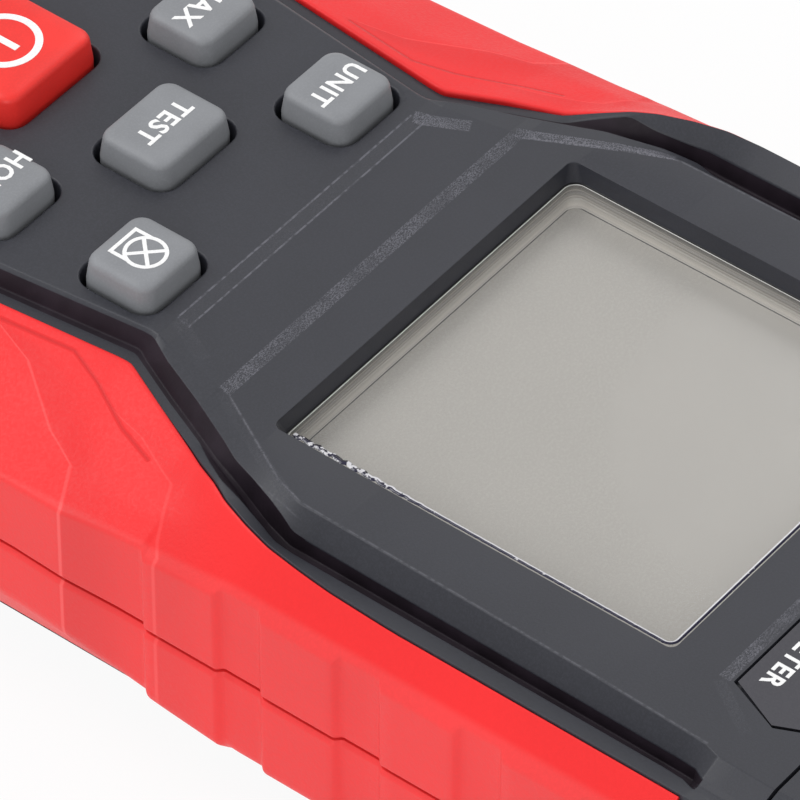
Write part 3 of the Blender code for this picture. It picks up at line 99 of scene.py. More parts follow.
def areaLamp(name, power, size, place):
    data = bpy.data.lights.new(name, "AREA")
    data.shape = "DISK"
    data.size = size
    data.energy = power
    item = bpy.data.objects.new(name, data)
    item.location = place
    item.rotation_euler = (Vector(place) - Vector(light["aim"])).to_track_quat("Z", "Y").to_euler()
    bpy.context.scene.collection.objects.link(item)


# shader maths as expressions

class Wire:
    # One socket in a material, so that sums of sockets read as plain expressions.
    def __init__(self, recipe, socket):
        self.recipe = recipe
        self.socket = socket

    def __add__(self, other):
        return self.recipe.maths("ADD", self, other)

    def __radd__(self, other):
        return self.recipe.maths("ADD", other, self)

    def __sub__(self, other):
        return self.recipe.maths("SUBTRACT", self, other)

    def __rsub__(self, other):
        return self.recipe.maths("SUBTRACT", other, self)

    def __mul__(self, other):
        return self.recipe.maths("MULTIPLY", self, other)

    def __rmul__(self, other):
        return self.recipe.maths("MULTIPLY", other, self)

    def __truediv__(self, other):
        return self.recipe.maths("DIVIDE", self, other)

    def __abs__(self):
        return self.recipe.maths("ABSOLUTE", self)


class Recipe:
    # One procedural material, or the world, and the nodes that it is made of.
    def __init__(self, name, holder=None):
        self.holder = holder or bpy.data.materials.new(name)
        self.holder.use_nodes = True
        self.tree = self.holder.node_tree
        self.shader = self.tree.nodes.get("Principled BSDF")

    def node(self, kind, settings=None, sockets=None, out=0):
        # out names the output to return, or several as a tuple
        made = self.tree.nodes.new(kind)
        for key, value in (settings or {}).items():
            if key == "stops":
                ramp = made.color_ramp
                while len(ramp.elements) < len(value):
                    ramp.elements.new(0.5)
                for element, (place, colour) in zip(ramp.elements, value):
                    element.position = place
                    element.color = (*colour, 1.0)
            else:
                setattr(made, key, value)
        for key, value in (sockets or {}).items():
            self.feed(made.inputs[key], value)
        if isinstance(out, tuple):
            return [Wire(self, made.outputs[one]) for one in out]
        return Wire(self, made.outputs[out])

    def feed(self, target, value):
        if isinstance(value, Wire):
            self.tree.links.new(value.socket, target)
        elif isinstance(value, (tuple, list)) and len(value) == 3 and target.type == "RGBA":
            target.default_value = (*value, 1.0)
        else:
            target.default_value = value

    def maths(self, operation, first, second=0.0):
        return self.node("ShaderNodeMath", {"operation": operation}, {0: first, 1: second})

    def place(self):
        return self.node("ShaderNodeTexCoord", out="Object")

    def axes(self):
        return self.node("ShaderNodeSeparateXYZ", {}, {0: self.place()}, (0, 1, 2))

    def noise(self, size, detail=3.0, rough=0.5, stretch=(1, 1, 1)):
        # size is the width of one grain in millimetres
        spot = self.node("ShaderNodeMapping", {}, {"Vector": self.place(), "Scale": stretch})
        return self.node("ShaderNodeTexNoise", {}, {
            "Vector": spot, "Scale": 1.0 / (size * mm), "Detail": detail, "Roughness": rough})

    def cells(self, size):
        return self.node("ShaderNodeTexVoronoi", {}, {
            "Vector": self.place(), "Scale": 1.0 / (size * mm)}, "Distance")

    def between(self, value, low, high, first=0.0, last=1.0):
        # a soft ramp from first to last while value goes from low to high
        return self.node("ShaderNodeMapRange", {"interpolation_type": "SMOOTHSTEP"}, {
            "Value": value, "From Min": low, "From Max": high, "To Min": first, "To Max": last})

    def strip(self, value, low, high, soft=0.12):
        # 1 where value, in metres, lies between low and high in millimetres
        rise = self.between(value, (low - soft) * mm, (low + soft) * mm)
        fall = self.between(value, (high - soft) * mm, (high + soft) * mm)
        return rise * (1 - fall)

    def blend(self, mask, first, second):
        return self.node("ShaderNodeMix", {"data_type": "RGBA"}, {0: mask, 6: first, 7: second}, 2)

    def varied(self, pattern, colour, dark, pale, low=0.3, high=0.7):
        # the colour from dark to pale shares of itself, as the pattern goes
        return self.blend(self.between(pattern, low, high), tint(colour, dark), tint(colour, pale))

    def nearLine(self, x, y, points, reach):
        # 1 on a line of points given in millimetres, falling to 0 at reach on either side
        nearest = None
        for (x0, y0), (x1, y1) in zip(points, points[1:]):
            span = math.hypot(x1 - x0, y1 - y0)
            ux, uy = (x1 - x0) / span, (y1 - y0) / span
            dx, dy = x - x0 * mm, y - y0 * mm
            share = self.maths("MINIMUM", self.maths("MAXIMUM", dx * ux + dy * uy), span * mm)
            px, py = dx - share * ux, dy - share * uy
            away = self.maths("SQRT", px * px + py * py)
            nearest = away if nearest is None else self.maths("MINIMUM", nearest, away)
        return self.maths("MAXIMUM", 1 - nearest / (reach * mm))

    def profile(self, x, points):
        # the height of a line of points, in metres, at x
        left, right = points[0][0], points[-1][0]
        low, high = min(p[1] for p in points), max(p[1] for p in points)
        stops = [((px - left) / (right - left), ((py - low) / (high - low),) * 3) for px, py in points]
        share = self.node("ShaderNodeValToRGB", {"stops": stops},
                          {"Fac": (x - left * mm) / ((right - left) * mm)})
        return share * ((high - low) * mm) + low * mm

    def bump(self, height, strength, depth):
        # depth is the height of the relief in millimetres
        return self.node("ShaderNodeBump", {}, {
            "Height": height, "Strength": strength, "Distance": depth * mm})

    def finish(self, colour, rough, normal=None, **constants):
        self.feed(self.shader.inputs["Base Color"], colour)
        self.feed(self.shader.inputs["Roughness"], rough)
        if normal:
            self.feed(self.shader.inputs["Normal"], normal)
        names = {"specular": "Specular IOR Level", "metal": "Metallic", "alpha": "Alpha",
                 "coat": "Coat Weight"}
        for key, value in constants.items():
            self.feed(self.shader.inputs[names[key]], value)
        return self.holder


def srgb(red, green, blue):
    # screen values 0-255 as the linear colour that a shader takes
    return tuple(v / 12.92 if v <= 0.04045 else ((v + 0.055) / 1.055) ** 2.4
                 for v in (red / 255, green / 255, blue / 255))


def tint(colour, share):
    return tuple(min(1.0, v * share) for v in colour)


# colours as they look on screen, and the finishes made of them

finishes = {
    "panel": srgb(46, 47, 54),
    "rubbed": srgb(122, 122, 131),
    # painted shade: the darker colour of the channel round the panel
    "dark": srgb(40, 33, 40),
    "redGrip": srgb(236, 39, 41),
    # painted shade and light on the red grip: a deeper red for the slope, a paler red for the upright side
    "slopeShadeRed": srgb(240, 24, 27),
    "wallLightRed": srgb(250, 140, 138),
    # painted shade past the grip's folds, and painted highlights along them
    "foldShade": srgb(208, 22, 26),
    "foldHighlight": srgb(255, 124, 122),
    "redKey": srgb(236, 50, 44),
    "greyKey": srgb(131, 133, 137),
    "legend": srgb(246, 246, 246),
    "display": srgb(174, 169, 161),
}

bands = {
    "faceUp": (0.0293, 0.0295),
    # rough strips across the face: from y, to y, half length, strength
    "across": [(-0.9, 0.2, 17.8, 0.75), (45.5, 46.5, 18.2, 0.75), (-7.8, -6.7, 14.2, 0.2)],
    # rough strips that run on outward: from point, to point, half width
    "outward": [((14.2, -7.6), (16.2, -3.6), 0.62), ((17.9, -0.6), (21.6, 6.6), 0.5),
                ((21.6, 6.6), (23.4, 10.6), 0.45), ((18.6, 45.8), (21.6, 50.4), 0.5)],
    # their strength on either side: the rubbing is mostly on one
    "sides": [(-1, 1.0), (1, 0.22)],
    # thin edge lines: across the face, and along the crease as points, reach, strength
    "edges": [(-7.92, -7.74), (-6.76, -6.6)],
    "edgeHalf": 14.2,
    "creases": [([(17.8, 0.2), (22.3, 8.4), (23.15, 11.2), (23.33, 20.9), (23.68, 38.6), (24.03, 48.8)],
                 0.16, 0.8),
                ([(23.0, 5.6), (23.9, 10.6), (24.4, 13.0)], 0.14, 0.6)],
}


def bandMask(m):
    # rough strips moulded into the face, and thin broken lines on its edges
    x, y, z = m.axes()
    across = abs(x)
    faceUp = m.between(z, *bands["faceUp"])
    fine = m.noise(0.16, 3.0, 0.8, (1, 2.2, 1))
    patchy = m.between(m.noise(2.6, 2.0), 0.36, 0.62, 0.6, 1.0)
    speck = m.between(fine, 0.44, 0.57) * patchy
    rub = 0.0
    for low, high, half, strong in bands["across"]:
        rub = rub + m.strip(y, low, high, 0.05) * m.strip(across, -1.0, half) * strong
    for side, strong in bands["sides"]:
        for (x0, y0), (x1, y1), wide in bands["outward"]:
            reach = math.hypot(x1 - x0, y1 - y0)
            ux, uy = (x1 - x0) / reach, (y1 - y0) / reach
            dx, dy = x * side - x0 * mm, y - y0 * mm
            along, off = dx * ux + dy * uy, dy * ux - dx * uy
            rub = rub + m.strip(along, 0.0, reach) * m.strip(off, -wide, wide, 0.06) * strong
    first, second = (m.strip(y, low, high, 0.03) for low, high in bands["edges"])
    thin = m.strip(across, -1.0, bands["edgeHalf"]) * (first + second)
    for points, reach, strong in bands["creases"]:
        thin = thin + m.nearLine(across, y, points, reach) * strong
    wear = m.between(m.noise(0.5, 2.0), 0.32, 0.6, 0.3, 1.0)
    return m.between(rub * speck + thin * wear * 0.55, 0.0, 1.0) * faceUp


def panelPlastic(name="panelPlastic", banded=True):
    m = Recipe(name)
    grain = m.noise(0.2, 3.0, 0.7)
    colour = m.varied(m.noise(9.0, 3.0), finishes["panel"], 0.95, 1.05, 0.35, 0.65)
    colour = m.blend(m.between(grain, 0.4, 0.68) * 0.34, colour, tint(finishes["panel"], 1.8))
    rough = m.between(grain, 0.3, 0.7, 0.40, 0.52)
    height = grain
    if banded:
        mask = bandMask(m)
        colour = m.blend(mask * 0.85, colour, finishes["rubbed"])
        rough = rough + mask * 0.15
        height = grain + mask * 3.0
    return m.finish(colour, rough, m.bump(height, 0.4, 0.02), specular=0.4)


def darkGloss():
    # painted shade: a darker plastic for the channel round the panel, standing in for the shade in it
    m = Recipe("darkGloss")
    grain = m.noise(0.3, 2.0, 0.6)
    tone = m.varied(m.noise(3.0, 3.0), finishes["dark"], 0.85, 1.2, 0.35, 0.65)
    return m.finish(tone, m.between(grain, 0.3, 0.7, 0.42, 0.54), m.bump(grain, 0.2, 0.01), specular=0.14)


folds = {
    # creases in the grip's shoulder, in plan: a groove, and two ridges that go on down the side; they carry
    # painted shade, and the ridges painted highlights
    "groove": {"line": [(21.1, -19.3), (20.4, -12.6), (21.6, -9.4), (23.9, -5.1), (25.2, -1.6)], "reach": 0.22},
    "ridge": {"line": [(20.9, -22.0), (21.5, -18.9), (22.7, -15.2), (26.5, -9.9), (28.0, -6.7), (31.0, -5.3),
                       (34.0, -5.3)], "fade": 8.0, "shade": 0.5, "light": 0.34},
    "faint": {"line": [(22.4, -8.6), (23.9, -3.2), (26.2, 1.5), (30.1, 3.3), (31.0, 4.0), (34.0, 4.0)],
              "fade": 6.0, "shade": 0.3, "light": 0.2},
}


def redRubber(name, colour, creased=False):
    m = Recipe(name)
    grain = m.noise(0.28, 3.0, 0.6)
    tone = m.varied(m.noise(14.0, 3.0), colour, 0.96, 1.04)
    tone = m.blend(m.between(grain, 0.4, 0.68) * 0.2, tone, tint(colour, 1.35))
    height = grain * 0.35
    if creased:
        x, y, z = m.axes()
        across = abs(x)
        # painted shade on the far side of each ridge, and a painted highlight along its line
        for fold in (folds["ridge"], folds["faint"]):
            past = y - m.profile(across, fold["line"])
            shade = m.between(past, 0.0, 0.0003) * (1 - m.between(past, 0.0008, fold["fade"] * mm))
            first = fold["line"][0][0]
            within = m.between(across, first * mm, (first + 0.8) * mm)
            tone = m.blend(shade * within * fold["shade"], tone, finishes["foldShade"])
            glint = m.strip(past, -0.22, 0.08, 0.08) * within * fold["light"]
            tone = m.blend(glint, tone, finishes["foldHighlight"])
        # painted light and shade: the upright side is painted paler, and the slope above it a deeper red, for the
        # way the light falls on them
        wall = m.between(across, 0.0303, 0.0308)
        tone = m.blend(wall * 0.9 + 0.1, m.blend(0.45, tone, finishes["slopeShadeRed"]),
                       m.blend(0.10, tone, finishes["wallLightRed"]))
        # painted shade along the groove, which the bump also sinks
        line = m.nearLine(across, y, folds["groove"]["line"], folds["groove"]["reach"])
        tone = m.blend(line * 0.55, tone, tint(colour, 0.6))
        height = height - line
    return m.finish(tone, m.between(grain, 0.3, 0.7, 0.45, 0.56), m.bump(height, 0.7, 0.1), specular=0.35)


def keyRubber(name, colour, rough=0.5):
    m = Recipe(name)
    grain = m.noise(0.2, 3.0, 0.7)
    tone = m.varied(m.noise(3.5, 2.0), colour, 0.95, 1.04)
    tone = m.blend(m.between(grain, 0.42, 0.68) * 0.3, tone, tint(colour, 1.28))
    return m.finish(tone, m.between(grain, 0.3, 0.7, rough - 0.06, rough + 0.06),
                    m.bump(grain, 0.25, 0.015), specular=0.35)


def legendInk():
    m = Recipe("legendInk")
    worn = m.noise(0.25, 3.0, 0.7)
    return m.finish(m.varied(worn, finishes["legend"], 0.9, 1.0, 0.35, 0.6),
                    m.between(worn, 0.3, 0.7, 0.4, 0.55), specular=0.3)


def displayGlass():
    m = Recipe("displayGlass")
    dust = m.noise(0.22, 2.0, 0.6)
    tone = m.varied(m.noise(16.0, 2.0), finishes["display"], 0.985, 1.015)
    tone = m.blend(m.between(dust, 0.5, 0.75) * 0.12, tone, tint(finishes["display"], 0.86))
    return m.finish(tone, m.between(dust, 0.3, 0.7, 0.22, 0.3), specular=0.4)


def clearPane(name="clearPane", alpha=0.10, colour=srgb(200, 202, 205), rough=0.06):
    m = Recipe(name)
    smear = m.noise(6.0, 2.0)
    return m.finish(m.varied(smear, colour, 1.0, 0.96),
                    m.between(smear, 0.3, 0.7, rough, rough + 0.04), alpha=alpha, specular=0.6)


def hardPlastic(name, colour, rough=0.5):
    m = Recipe(name)
    fine = m.noise(0.25, 2.0, 0.6)
    tone = m.varied(m.noise(10.0, 3.0), colour, 0.94, 1.06)
    return m.finish(tone, m.between(fine, 0.3, 0.7, rough - 0.06, rough + 0.06), m.bump(fine, 0.3, 0.02),
                    specular=0.4)


def metal(name, colour, rough=0.3, brushed=(1, 1, 1)):
    m = Recipe(name)
    fine = m.noise(0.3, 3.0, 0.6, brushed)
    return m.finish(m.varied(fine, colour, 0.88, 1.05), m.between(fine, 0.3, 0.7, rough - 0.08, rough + 0.1),
                    m.bump(fine, 0.2, 0.01), metal=1.0)


def boardGreen():
    m = Recipe("boardGreen")
    weave = m.noise(0.6, 2.0, 0.5, (1, 4, 1))
    tracks = m.between(m.cells(2.4), 0.45, 0.5)
    tone = m.blend(m.between(weave, 0.3, 0.7), srgb(18, 84, 50), srgb(26, 104, 62))
    tone = m.blend(tracks * 0.4, tone, srgb(60, 130, 84))
    return m.finish(tone, m.between(weave, 0.3, 0.7, 0.3, 0.4), coat=0.3)


# how shapes are made from lines and rows of points

def readOff(table, y):
    # half width and height of a contour at y
    if y <= table[0][0]:
        return table[0][1:]
    for (y0, h0, z0), (y1, h1, z1) in zip(table, table[1:]):
        if y <= y1:
            t = (y - y0) / (y1 - y0)
            return h0 + (h1 - h0) * t, z0 + (z1 - z0) * t
    return table[-1][1:]


def eased(table, y):
    # the moulded body turns its corners gently near the waist
    if not layout["waist"][0] < y < layout["waist"][1]:
        return readOff(table, y)
    spread = [readOff(table, y + 0.3 * s) for s in (-1, -0.5, 0, 0.5, 1)]
    return sum(s[0] for s in spread) / 5, sum(s[1] for s in spread) / 5


def walk(line, stations):
    # points of one contour: round the handle's corner, then up the right side
    table, end, corner = line
    half, height = readOff(table, table[0][0])
    points = []
    for kind, value in stations:
        if kind == "arc":
            turn = math.radians(value)
            points.append(Vector((half - corner + corner * math.sin(turn),
                                  end + corner - corner * math.cos(turn), height)))
        elif kind == "lead":
            points.append(Vector((half, end + corner + (layout["gripStart"] - end - corner) * value, height)))
        else:
            wide, high = eased(table, value)
            points.append(Vector((wide, value, high)))
    return points


# stations along the body: steps round the corner, spacing outside and inside the shoulder, and the
# room that a wanted station keeps clear
pace = {"arcs": 12, "leads": (0.35, 0.7), "plain": 1.6, "fine": 0.45, "shoulder": (-12.0, 15.0), "clear": 0.3}


def spots(extra=(), stop=layout["noseSeam"]):
    rows = [("arc", 90.0 * i / pace["arcs"]) for i in range(pace["arcs"] + 1)]
    rows += [("lead", share) for share in pace["leads"]]
    ys = {layout["gripStart"], stop}
    y = layout["gripStart"]
    while y < stop:
        ys.add(round(y, 3))
        y += pace["fine"] if pace["shoulder"][0] <= y < pace["shoulder"][1] else pace["plain"]
    clear = [y for y in ys if all(abs(y - e) > pace["clear"] for e in extra)]
    return rows + [("y", y) for y in sorted([*clear, *extra]) if y <= stop]


def filleted(points, radii, steps=4):
    # a polyline with its inner corners rounded; every station gets the same count
    out = [points[0]]
    for before, here, after, radius in zip(points, points[1:], points[2:], radii):
        a, b = here - before, after - here
        if radius <= 0 or a.length < 1e-6 or b.length < 1e-6:
            out.extend([here] if radius <= 0 else [here] * (steps + 1))
            continue
        p = here - a.normalized() * min(radius, a.length * 0.45)
        q = here + b.normalized() * min(radius, b.length * 0.45)
        for i in range(steps + 1):
            t = i / steps
            out.append(p * (1 - t) ** 2 + here * 2 * t * (1 - t) + q * t * t)
    return out + [points[-1]]


def mirrored(p):
    return Vector((-p.x, p.y, p.z))


def bothSides(bm, loop):
    # a row of vertices up the right side and back down the left
    return [bm.verts.new(p) for p in loop] + [bm.verts.new(mirrored(p)) for p in reversed(loop)]


def quad(bm, a, b, c, d, mat=0):
    corners = []
    for v in (a, b, c, d):
        if v not in corners:
            corners.append(v)
    if len(corners) > 2:
        bm.faces.new(corners).material_index = mat


def closeAcross(bm, row):
    # quads from the right half of such a row to its left half
    last = len(row) - 1
    for k in range(len(row) // 2 - 1):
        quad(bm, row[k], row[k + 1], row[last - 1 - k], row[last - k])


def skinRows(bm, rows, mat=0, capped=False):
    for first, second in zip(rows, rows[1:]):
        count = len(first)
        for i in range(count):
            j = (i + 1) % count
            quad(bm, first[i], first[j], second[j], second[i], mat)
    if capped:
        bm.faces.new(rows[0])
        bm.faces.new(rows[-1])


def shade(bm, angle, alsoSharp=None):
    # smooth faces, sharp where the surface turns by more than angle
    limit = math.radians(angle)
    for face in bm.faces:
        face.smooth = True
    for edge in bm.edges:
        edge.smooth = not (edge.calc_face_angle(0.0) > limit or (alsoSharp and alsoSharp(edge)))


def settle(bm, angle=32.0):
    bmesh.ops.remove_doubles(bm, verts=bm.verts, dist=0.0005)
    bmesh.ops.recalc_face_normals(bm, faces=bm.faces)
    shade(bm, angle)


def asObject(name, bm, materials=(), at=(0, 0, 0)):
    bmesh.ops.translate(bm, vec=at, verts=bm.verts)
    bmesh.ops.scale(bm, vec=(mm, mm, mm), verts=bm.verts)
    mesh = bpy.data.meshes.new(name)
    bm.to_mesh(mesh)
    bm.free()
    for material in materials:
        mesh.materials.append(material)
    item = bpy.data.objects.new(name, mesh)
    bpy.context.scene.collection.objects.link(item)
    return item


def cutAway(item, tools):
    for tool in tools:
        mod = item.modifiers.new("cut", "BOOLEAN")
        mod.operation = "DIFFERENCE"
        mod.solver = "EXACT"
        mod.object = tool
    bpy.context.view_layer.update()
    solved = bpy.data.meshes.new_from_object(item.evaluated_get(bpy.context.evaluated_depsgraph_get()))
    item.modifiers.clear()
    old = item.data
    item.data = solved
    bpy.data.meshes.remove(old)
    for tool in tools:
        mesh = tool.data
        bpy.data.objects.remove(tool)
        bpy.data.meshes.remove(mesh)


def roundedLoop(wide, tall, corner, z, steps=6):
    corner = max(0.01, min(corner, wide / 2 - 0.01, tall / 2 - 0.01))
    points = []
    for quarter, (sx, sy) in enumerate(((1, 1), (-1, 1), (-1, -1), (1, -1))):
        for step in range(steps + 1):
            turn = math.radians(90.0) * (quarter + step / steps)
            points.append(Vector((sx * (wide / 2 - corner) + corner * math.cos(turn),
                                  sy * (tall / 2 - corner) + corner * math.sin(turn), z)))
    return points


def layered(bm, layers, steps=6):
    # rows of vertices, one rounded rectangle for each (wide, tall, corner, height)
    return [[bm.verts.new(p) for p in roundedLoop(*layer, steps)] for layer in layers]


def stack(layers, steps=6):
    # rounded rectangles stacked along z
    bm = bmesh.new()
    skinRows(bm, layered(bm, layers, steps), capped=True)
    bmesh.ops.recalc_face_normals(bm, faces=bm.faces)
    return bm


def flaredCutter(wide, tall, corner, top, low, rounding):
    # a hole whose upper edge is rounded over
    layers = [(wide, tall, corner, low)]
    for turn in (0, 30, 60, 90):
        out = rounding * (1 - math.cos(math.radians(turn)))
        layers.append((wide + 2 * out, tall + 2 * out, corner + out,
                       top - rounding + rounding * math.sin(math.radians(turn))))
    layers.append((wide + 2 * rounding + 0.02, tall + 2 * rounding + 0.02, corner + rounding, top + 3.0))
    return stack(layers)


def ride(item, carrier=body, replaces=()):
    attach(item, carrier)
    if replaces:
        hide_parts(*replaces)
    return item


# contours of the body: rows of (y, half width, height)

stepStart = layout["gripStop"] - 0.15
stepEnd = layout["gripStop"] + 0.15
under = 1.9    # grip skin and the seam behind it

contours = {
    "crease": [(-45, 20.25, 30.45), (-8.4, 16.25, 30.45), (-0.7, 17.7, 30.45), (8.4, 22.4, 30.45),
               (11.2, 23.3, 30.45), (20.9, 23.45, 30.45), (38.6, 23.8, 30.45), (48.8, 24.15, 30.45),
               (50.35, 24.6, 30.45), (55.2, 24.7, 30.45)],
    "panelEdge": [(-45, 20.75, 30.2), (-9.0, 16.6, 30.2), (-8.1, 16.6, 30.2), (-5.8, 17.85, 30.15),
                  (-1.45, 19.65, 30.0), (2.65, 21.55, 29.85), (4.5, 22.5, 29.75), (6.8, 23.2, 29.65),
                  (9.0, 23.95, 29.5), (10.7, 24.5, 29.1), (11.75, 24.9, 28.75), (13.1, 24.78, 28.45),
                  (22.6, 24.85, 28.35), (48.6, 25.2, 28.35), (50.35, 26.6, 29.4), (55.2, 26.7, 29.4)],
    "grooveInner": [(-45, 21.1, 28.8), (-8.9, 17.12, 28.8), (-7.9, 17.76, 28.8), (-3.6, 19.76, 28.8),
                    (0.75, 21.66, 28.8), (2.9, 22.64, 28.8), (5.1, 23.35, 28.7), (7.2, 23.8, 27.9),
                    (9.0, 24.3, 27.4), (11.75, 25.05, 27.3), (13.1, 24.95, 27.2), (48.6, 25.35, 27.2),
                    (50.35, 27.1, 29.2), (55.2, 27.2, 29.2)],
    "grooveOuter": [(-45, 21.4, 28.8), (-8.9, 17.4, 28.8), (-7.9, 18.0, 28.8), (-3.6, 20.0, 28.8),
                    (0.75, 21.9, 28.8), (2.9, 22.9, 28.8), (5.1, 23.75, 28.65), (7.2, 24.4, 27.95),
                    (9.0, 25.2, 27.5), (11.75, 26.1, 27.3), (13.1, 26.15, 27.2), (48.6, 26.4, 27.2),
                    (50.35, 27.4, 29.2), (55.2, 27.5, 29.2)],
    "rimInner": [(-45, 21.7, 28.8), (-8.9, 17.8, 28.8), (-7.9, 18.3, 28.8), (-3.6, 20.3, 28.8),
                 (0.75, 22.15, 28.8), (2.9, 23.6, 29.4), (5.1, 24.95, 30.0), (7.2, 25.27, 29.5),
                 (9.7, 25.95, 29.05), (11.4, 26.5, 28.8), (13.2, 26.6, 28.7), (48.6, 26.8, 28.7),
                 (50.35, 27.7, 29.2), (55.2, 27.8, 29.2)],
    "rimOuter": [(-45, 22.5, 28.8), (-9.4, 18.88, 28.8), (-8.3, 18.85, 28.8), (-4.05, 20.88, 28.8),
                 (0.3, 22.78, 28.8), (2.6, 24.1, 29.45), (4.9, 25.3, 30.05), (6.7, 26.3, 30.12),
                 (9.4, 27.3, 30.15), (12.1, 28.05, 30.1), (15.1, 28.4, 29.95), (18.0, 28.6, 29.75),
                 (24.0, 28.7, 29.5), (55.2, 28.75, 29.45)],
    "sideTop": [(-45, 30, 23.4), (-25, 31, 23.9), (-5.3, 31, 25.0), (4.0, 31, 26.1), (10.9, 31, 26.6),
                (55.2, 31, 26.6)],
    "slope": [(-45, 25.4, 27.4), (-25, 24.8, 27.4), (-15, 24.2, 27.6), (-8.4, 27.0, 27.0), (-5.3, 28.4, 26.4),
              (4.0, 28.4, 27.8), (10.9, 29.5, 28.2), (55.2, 29.85, 28.0)],
    "footLine": [(-45, 30, 12.4), (-25, 31, 12.6), (-5.3, 31, 12.1), (4.0, 31, 10.6), (10.9, 31, 9.8),
                 (55.2, 31, 9.8)],
}
# how each line goes round the handle: where it ends, and the radius of its corner
turns = {
    "crease": (-64.6, 9.1),
    "panelEdge": (-64.9, 9.4),
    "grooveInner": (-65.3, 9.8),
    "grooveOuter": (-65.8, 10.0),
    "rimInner": (-66.1, 10.2),
    "rimOuter": (-67.0, 11.0),
    "rebate": (-67.0, 11.0),
    "sideTop": (layout["handleEnd"], layout["corner"]),
    "slope": (-70.8, 13.0),
    "footLine": (layout["handleEnd"], layout["corner"]),
    "gripInner": (-67.6, 11.4),
}


def moved(table, out, up):
    return [(y, half + out, z + up) for y, half, z in table]


def lineOf(name):
    return (contours[name], *turns[name])


# the grip stands a little above the rim on the keypad's side, and the panel is cut back under it
contours["gripInner"] = [(y, half + 0.03, z + 0.55 * max(0.0, min(1.0, (2.0 - y) / 4.0)))
                         for y, half, z in contours["rimOuter"]]
contours["rebate"] = moved(contours["rimOuter"][:-1], 0.0, -0.9) + [
    (stepStart, 28.75, 28.6), (stepEnd, 28.8, 29.3), (55.2, 28.8, 29.3)]


def level(height, extra=0.0, afterward=None):
    # the body's side at one height, drawn in by extra, and by afterward past the grip
    afterward = extra if afterward is None else afterward
    return [(-45, 30 - extra, height), (-25, 31 - extra, height), (stepStart, 31 - extra, height),
            (stepEnd, 31 - afterward, height), (55.2, 31 - afterward, height)]


# the dark front panel, its keys' places and the plate above the display

smallKey = {"size": (7.1, 6.6), "top": 32.45}
keys = {
    "key_unit": {**smallKey, "at": (-11.7, -36.1), "legend": "UNIT", "tall": 1.72, "spread": 0.93},
    "key_light": {**smallKey, "at": (11.7, -36.1), "legend": "lamp"},
    "key_test": {"at": (-0.25, -43.8), "size": (8.8, 6.9), "top": 32.45, "legend": "TEST", "tall": 1.75,
                 "spread": 0.98},
    "key_max": {**smallKey, "at": (-12.3, -49.9), "legend": "MAX", "tall": 1.8, "spread": 0.96},
    "key_hold": {**smallKey, "at": (12.3, -49.9), "legend": "HOLD", "tall": 1.8, "spread": 0.92},
    "key_power": {"at": (0.6, -59.1), "size": (10.6, 10.4), "top": 32.85, "legend": "power"},
}
panel = {
    "holeGap": 0.48,
    "holeRound": 0.22,
    "keyCorner": 1.25,
    "wall": 2.0,
    # fillets from the side's top up to the crease
    "radii": [0.6, 0, 0.1, 0.12, 0.18, 0.12, 0.07, 0.1],
    "recess": (36.4, 36.8, 0.7),
    "recessRound": 0.1,
    "innerTop": 28.25,
    # the channel's rows of points, where it widens, and its end
    "channel": {"first": 13, "last": 24, "lastWide": 22, "wideFrom": 12.8, "stop": layout["gripStop"]},
}
# the face steps down in two sloping bands: height before, start and stop
steps = {"bands": ((30.45, -7.8, -6.7), (30.225, -0.9, 0.2)), "drop": 0.225, "long": 1.1}
plate = {
    "outline": [(-17.65, 24.15), (17.65, 24.15), (19.6, 28.15), (18.7, 30.06), (17.4, 31.4), (-17.4, 31.4),
                (-18.7, 30.06), (-19.6, 28.15)],
    "middle": 27.8,
    "gap": 0.42,
    "depth": 0.5,
    "foot": 29.51,
    "top": 29.98,
    "word": "TACHOMETER",
    "wordTall": 1.6,
    "wordAt": (9.6, 25.85),
}


def faceHeight(y):
    for height, start, stop in steps["bands"]:
        if y < start:
            return height
        if y < stop:
            return height - steps["drop"] * (y - start) / steps["long"]
    return layout["panelTop"]


def outlineStack(layers):
    # the plate's outline, grown and stacked along z: (grow, height)
    bm = bmesh.new()
    rows = [[bm.verts.new((x + math.copysign(grow, x), y + math.copysign(grow, y - plate["middle"]), z))
             for x, y in plate["outline"]] for grow, z in layers]
    skinRows(bm, rows, capped=True)
    bmesh.ops.recalc_face_normals(bm, faces=bm.faces)
    return bm


